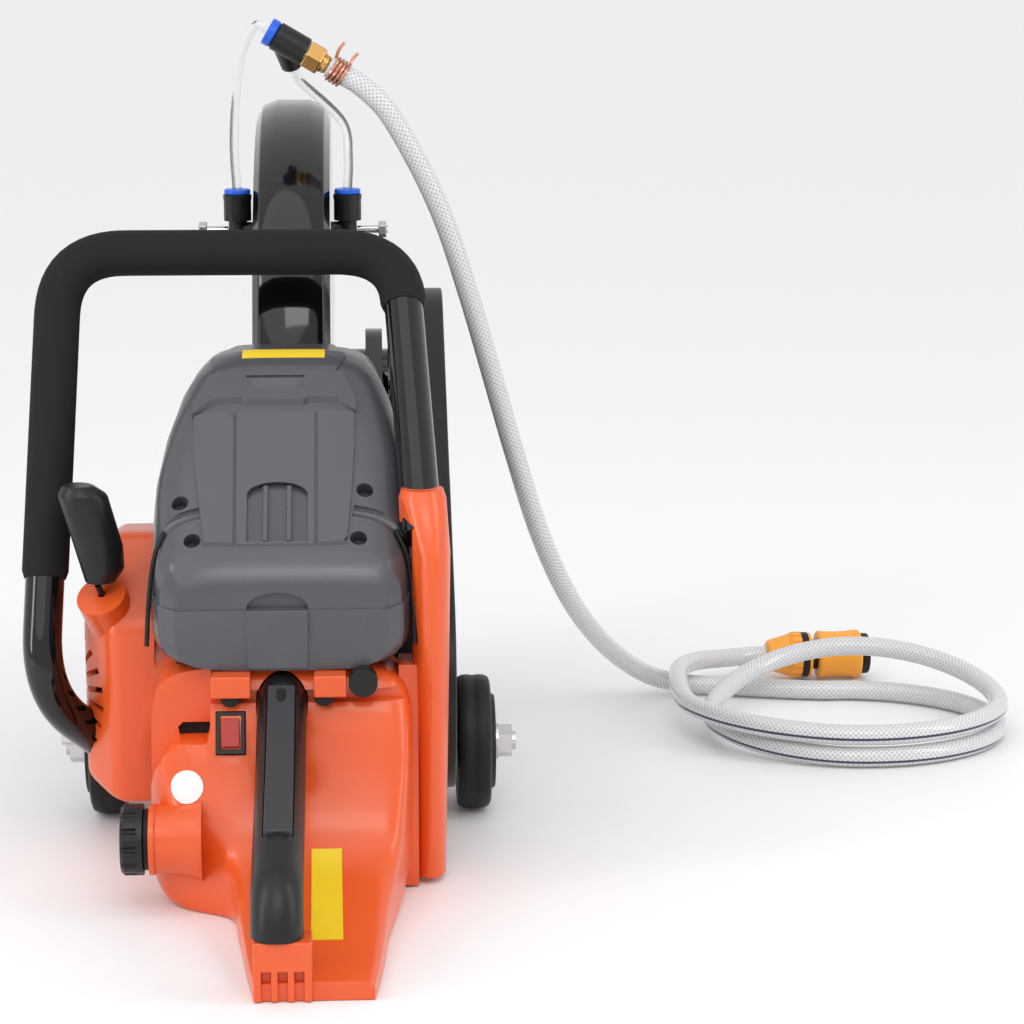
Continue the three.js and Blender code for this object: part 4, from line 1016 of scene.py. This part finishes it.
def ring_about(start, along, radius, length, name):
    turn = facing(along)
    profile = [(3.4, 0), (radius - 0.8, 0), (radius, 0.8), (radius, length - 0.8),
               (radius - 0.8, length), (3.4, length), (3.4, 0)]
    piece(name, turned(profile, start, turn, 36), BLUE, "guard", edge=0.2)

NOZZLE_PROFILE = [(0, 356), (6, 356), (6, 375), (7.6, 377), (8.8, 379), (8.8, 389), (9.3, 390),
                  (9.3, 393), (0, 393)]
for side, x in NOZZLES.items():
    body = fuse(turned(NOZZLE_PROFILE, at(x, 345, 0), "Z", 36), shape_of("nozzle_" + side))
    piece("nozzle_body_" + side, body, BLACK, "guard", ["nozzle_" + side], edge=0.4)
    ring_about(at(x, 345, 393), Vector((0, 0, 1)), 8.6, 3.6, "nozzle_ring_" + side)
LINES = {"left": [at(-32.5, 345, 393.5), at(-34, 345, 425), at(-32, 345, 460), at(-27, 345, 488),
                  on_tee(-9), on_tee(-4.5), on_tee(-0.3)],
         "right": [at(39.5, 345, 393.5), at(40.5, 346, 415), at(37.5, 354, 438), on_branch(35),
                   on_branch(29), on_branch(23.3)]}
for side, points in LINES.items():
    line = even_steps(smooth_line(points, 12), 0.003)
    piece("clear_line_" + side, swept(line, 3 * MM, 24), CLEAR, "guard", ["water_line_" + side])
print("nozzles and clear lines:", ", ".join(LINES))

# %% [markdown]
# ## Where the water comes in
# The tee takes water from the supply hose and sends it up both clear lines. Its brass barb is two
# turned shapes joined. A turning with only six steps is a hexagon, so the part that a spanner grips
# needs no other tool than the round stem does.

# %% Tee, barb and clamp
def on_tee_line(profile, steps):
    return turned(profile, on_tee(0), facing(TEE_ALONG), steps)

tee = on_tee_line([(0, 0), (6, 0), (8.2, 1.2), (8.2, 4.4), (9.6, 5.2), (9.6, 26.2), (8.4, 27),
                   (0, 27)], 40)
branch = turned([(0, 0), (7.6, 0), (7.6, 22), (6.6, 23), (0, 23)], on_tee(9), facing(BRANCH_ALONG), 36)
piece("tee_body", fuse(tee, branch), BLACK, "guard", ["tee_fitting"], edge=0.4)
ring_about(on_tee(-1.6), TEE_ALONG, 9.2, 5.8, "tee_ring")
hexagon = on_tee_line([(0, 27.3), (9.3, 27.3), (10, 28.3), (10, 38), (9.3, 39), (0, 39)], 6)
stem = on_tee_line([(0, 38), (6.2, 38), (6.8, 39.6), (6, 41), (6.4, 42), (5.2, 44), (0, 44)], 36)
piece("hex_barb", fuse(hexagon, stem), BRASS, "guard", ["brass_barb"], edge=0.5)

def wound_wire(start, turns, pitch, radius):
    side, up = Vector((0, 1, 0)), TEE_ALONG.cross(Vector((0, 1, 0)))
    points = []
    for i in range(turns * 20 + 1):
        angle = math.tau * i / 20
        out = side * math.sin(angle) + up * math.cos(angle)
        points.append(on_tee(start + pitch * i / 20) + out * radius * MM)
    return points

coil_wire = wound_wire(45.6, 4, 2.6, 8.1)
ear_ends = [[coil_wire[0], coil_wire[0] + at(2, -2, 5), coil_wire[0] + at(5, -3, 9)],
            [coil_wire[-1], coil_wire[-1] + at(2, 2, 4), coil_wire[-1] + at(5, 3, 7)]]
wires = [swept(line, 1.1 * MM, 10) for line in
         [coil_wire, *[even_steps(smooth_line(end), 0.002) for end in ear_ends]]]
bands = piece("wire_clamp", together(*wires), COPPER, None, ["hose_clamp"])
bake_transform(bands)
print("wire in the clamp:", len(coil_wire), "points")

# %% [markdown]
# ## Wheels
# Each wheel is a solid rubber tyre with rounded shoulders and a raised hub on its outer face. Both
# come from one turned profile, mirrored for the other side.

# %% Wheels
WHEEL_INNER = 107
WHEEL_PROFILE = [(6.4, 0), (22, 0), (24, 1.5), (37, 1.5), (39.5, 0), (42, 1.2), (43.3, 4),
                 (43.5, 8), (43.1, 9.5), (43.1, 12.5), (43.5, 14), (43.3, 18), (42, 20.8),
                 (39.5, 22), (35, 22), (33, 20.8), (31.5, 22.4), (30, 25), (14, 25),
                 (12.6, 24), (6.4, 24), (6.4, 0)]
for side, body in ((-1, "wheel_left"), (1, "wheel_right")):
    profile = [(radius, side * (WHEEL_INNER + along)) for radius, along in WHEEL_PROFILE]
    tyre = turned(profile, at(0, *AXLE_PLACE), "X", 64)
    piece(body + "_tyre", tyre, RUBBER, body, [body], edge=0.4)
print("wheels turn about", at(0, *AXLE_PLACE))

# %% [markdown]
# ## Working parts that keep their own shape
# The engine's inner parts, the arm, the disc and the guard are already the right shape as solids.
# Each gets a copy of its solid with its triangles merged, a small rounded edge and a finish. That
# keeps them exactly where the joints expect them.

# %% Working parts
KEPT_SHAPES = [
    ("right_side_cover", ORANGE, "saw", 1.5),
    ("switch_bezel", BLACK, "saw", 0.5),
    ("mount_left", RUBBER, "saw", 0.6), ("mount_right", RUBBER, "saw", 0.6),
    ("filter_base", BLACK, "saw", 0.8), ("air_filter", PAPER, "saw", 1.0),
    ("carburettor", CAST, "saw", 0.8), ("crankcase", CAST, "saw", 1.5), ("cylinder", CAST, "saw", 0.5),
    ("piston", TURNED, "saw", 0.4), ("spark_plug", BLACK, "saw", 0.4), ("muffler", CAST, "saw", 2.0),
    ("drive_belt", RUBBER, "saw", 0.6), ("cutting_arm", GLOSS, "saw", 1.2),
    ("clutch_cover", BLACK, "saw", 1.6), ("belt_cover", BLACK, "saw", 1.6),
    ("handle_bolt", ZINC, "saw", 0.5), ("wheel_axle", ZINC, "saw", 0.5),
    ("axle_nut_left", ZINC, "saw", 0.5), ("axle_nut_right", ZINC, "saw", 0.5),
    ("cutting_disc", STONE, "disc", 0.3), ("spindle", ZINC, "disc", 0.5),
    ("inner_flange", TURNED, "disc", 0.5), ("outer_flange", TURNED, "disc", 0.5),
    ("arbor_nut", ZINC, "disc", 0.5), ("driven_pulley", TURNED, "disc", 0.5),
    ("crankshaft", ZINC, "crank", 0.5), ("flywheel", CAST, "crank", 0.5),
    ("clutch_drum", ZINC, "crank", 0.5),
    ("blade_guard", GLOSS, "guard", 1.0),
    ("nozzle_screw_left", ZINC, "guard", 0.3),
    ("nozzle_screw_right", ZINC, "guard", 0.3),
    ("throttle_trigger", BLACK, "trigger", 0.8), ("throttle_lockout", GREY, "lockout", 1.0),
    ("stop_rocker", RED, "rocker", 0.6), ("choke_knob", BLACK, "choke", 0.6),
    ("fuel_cap", BLACK, "fuel_cap", 0.6), ("cap_seal", RUBBER, "fuel_cap", 0.4),
    ("starter_grip", BLACK, "starter_grip", 1.2), ("starter_rope", BLACK, "starter_grip", 0.3),
    ("starter_pulley", BLACK, "starter_pulley", 0.4),
]
for node, material, body, width in KEPT_SHAPES:
    piece("fine_" + node, shape_of(node), material, body, [node], edge=width, slot=material["slot"])
print("working parts dressed:", len(KEPT_SHAPES))
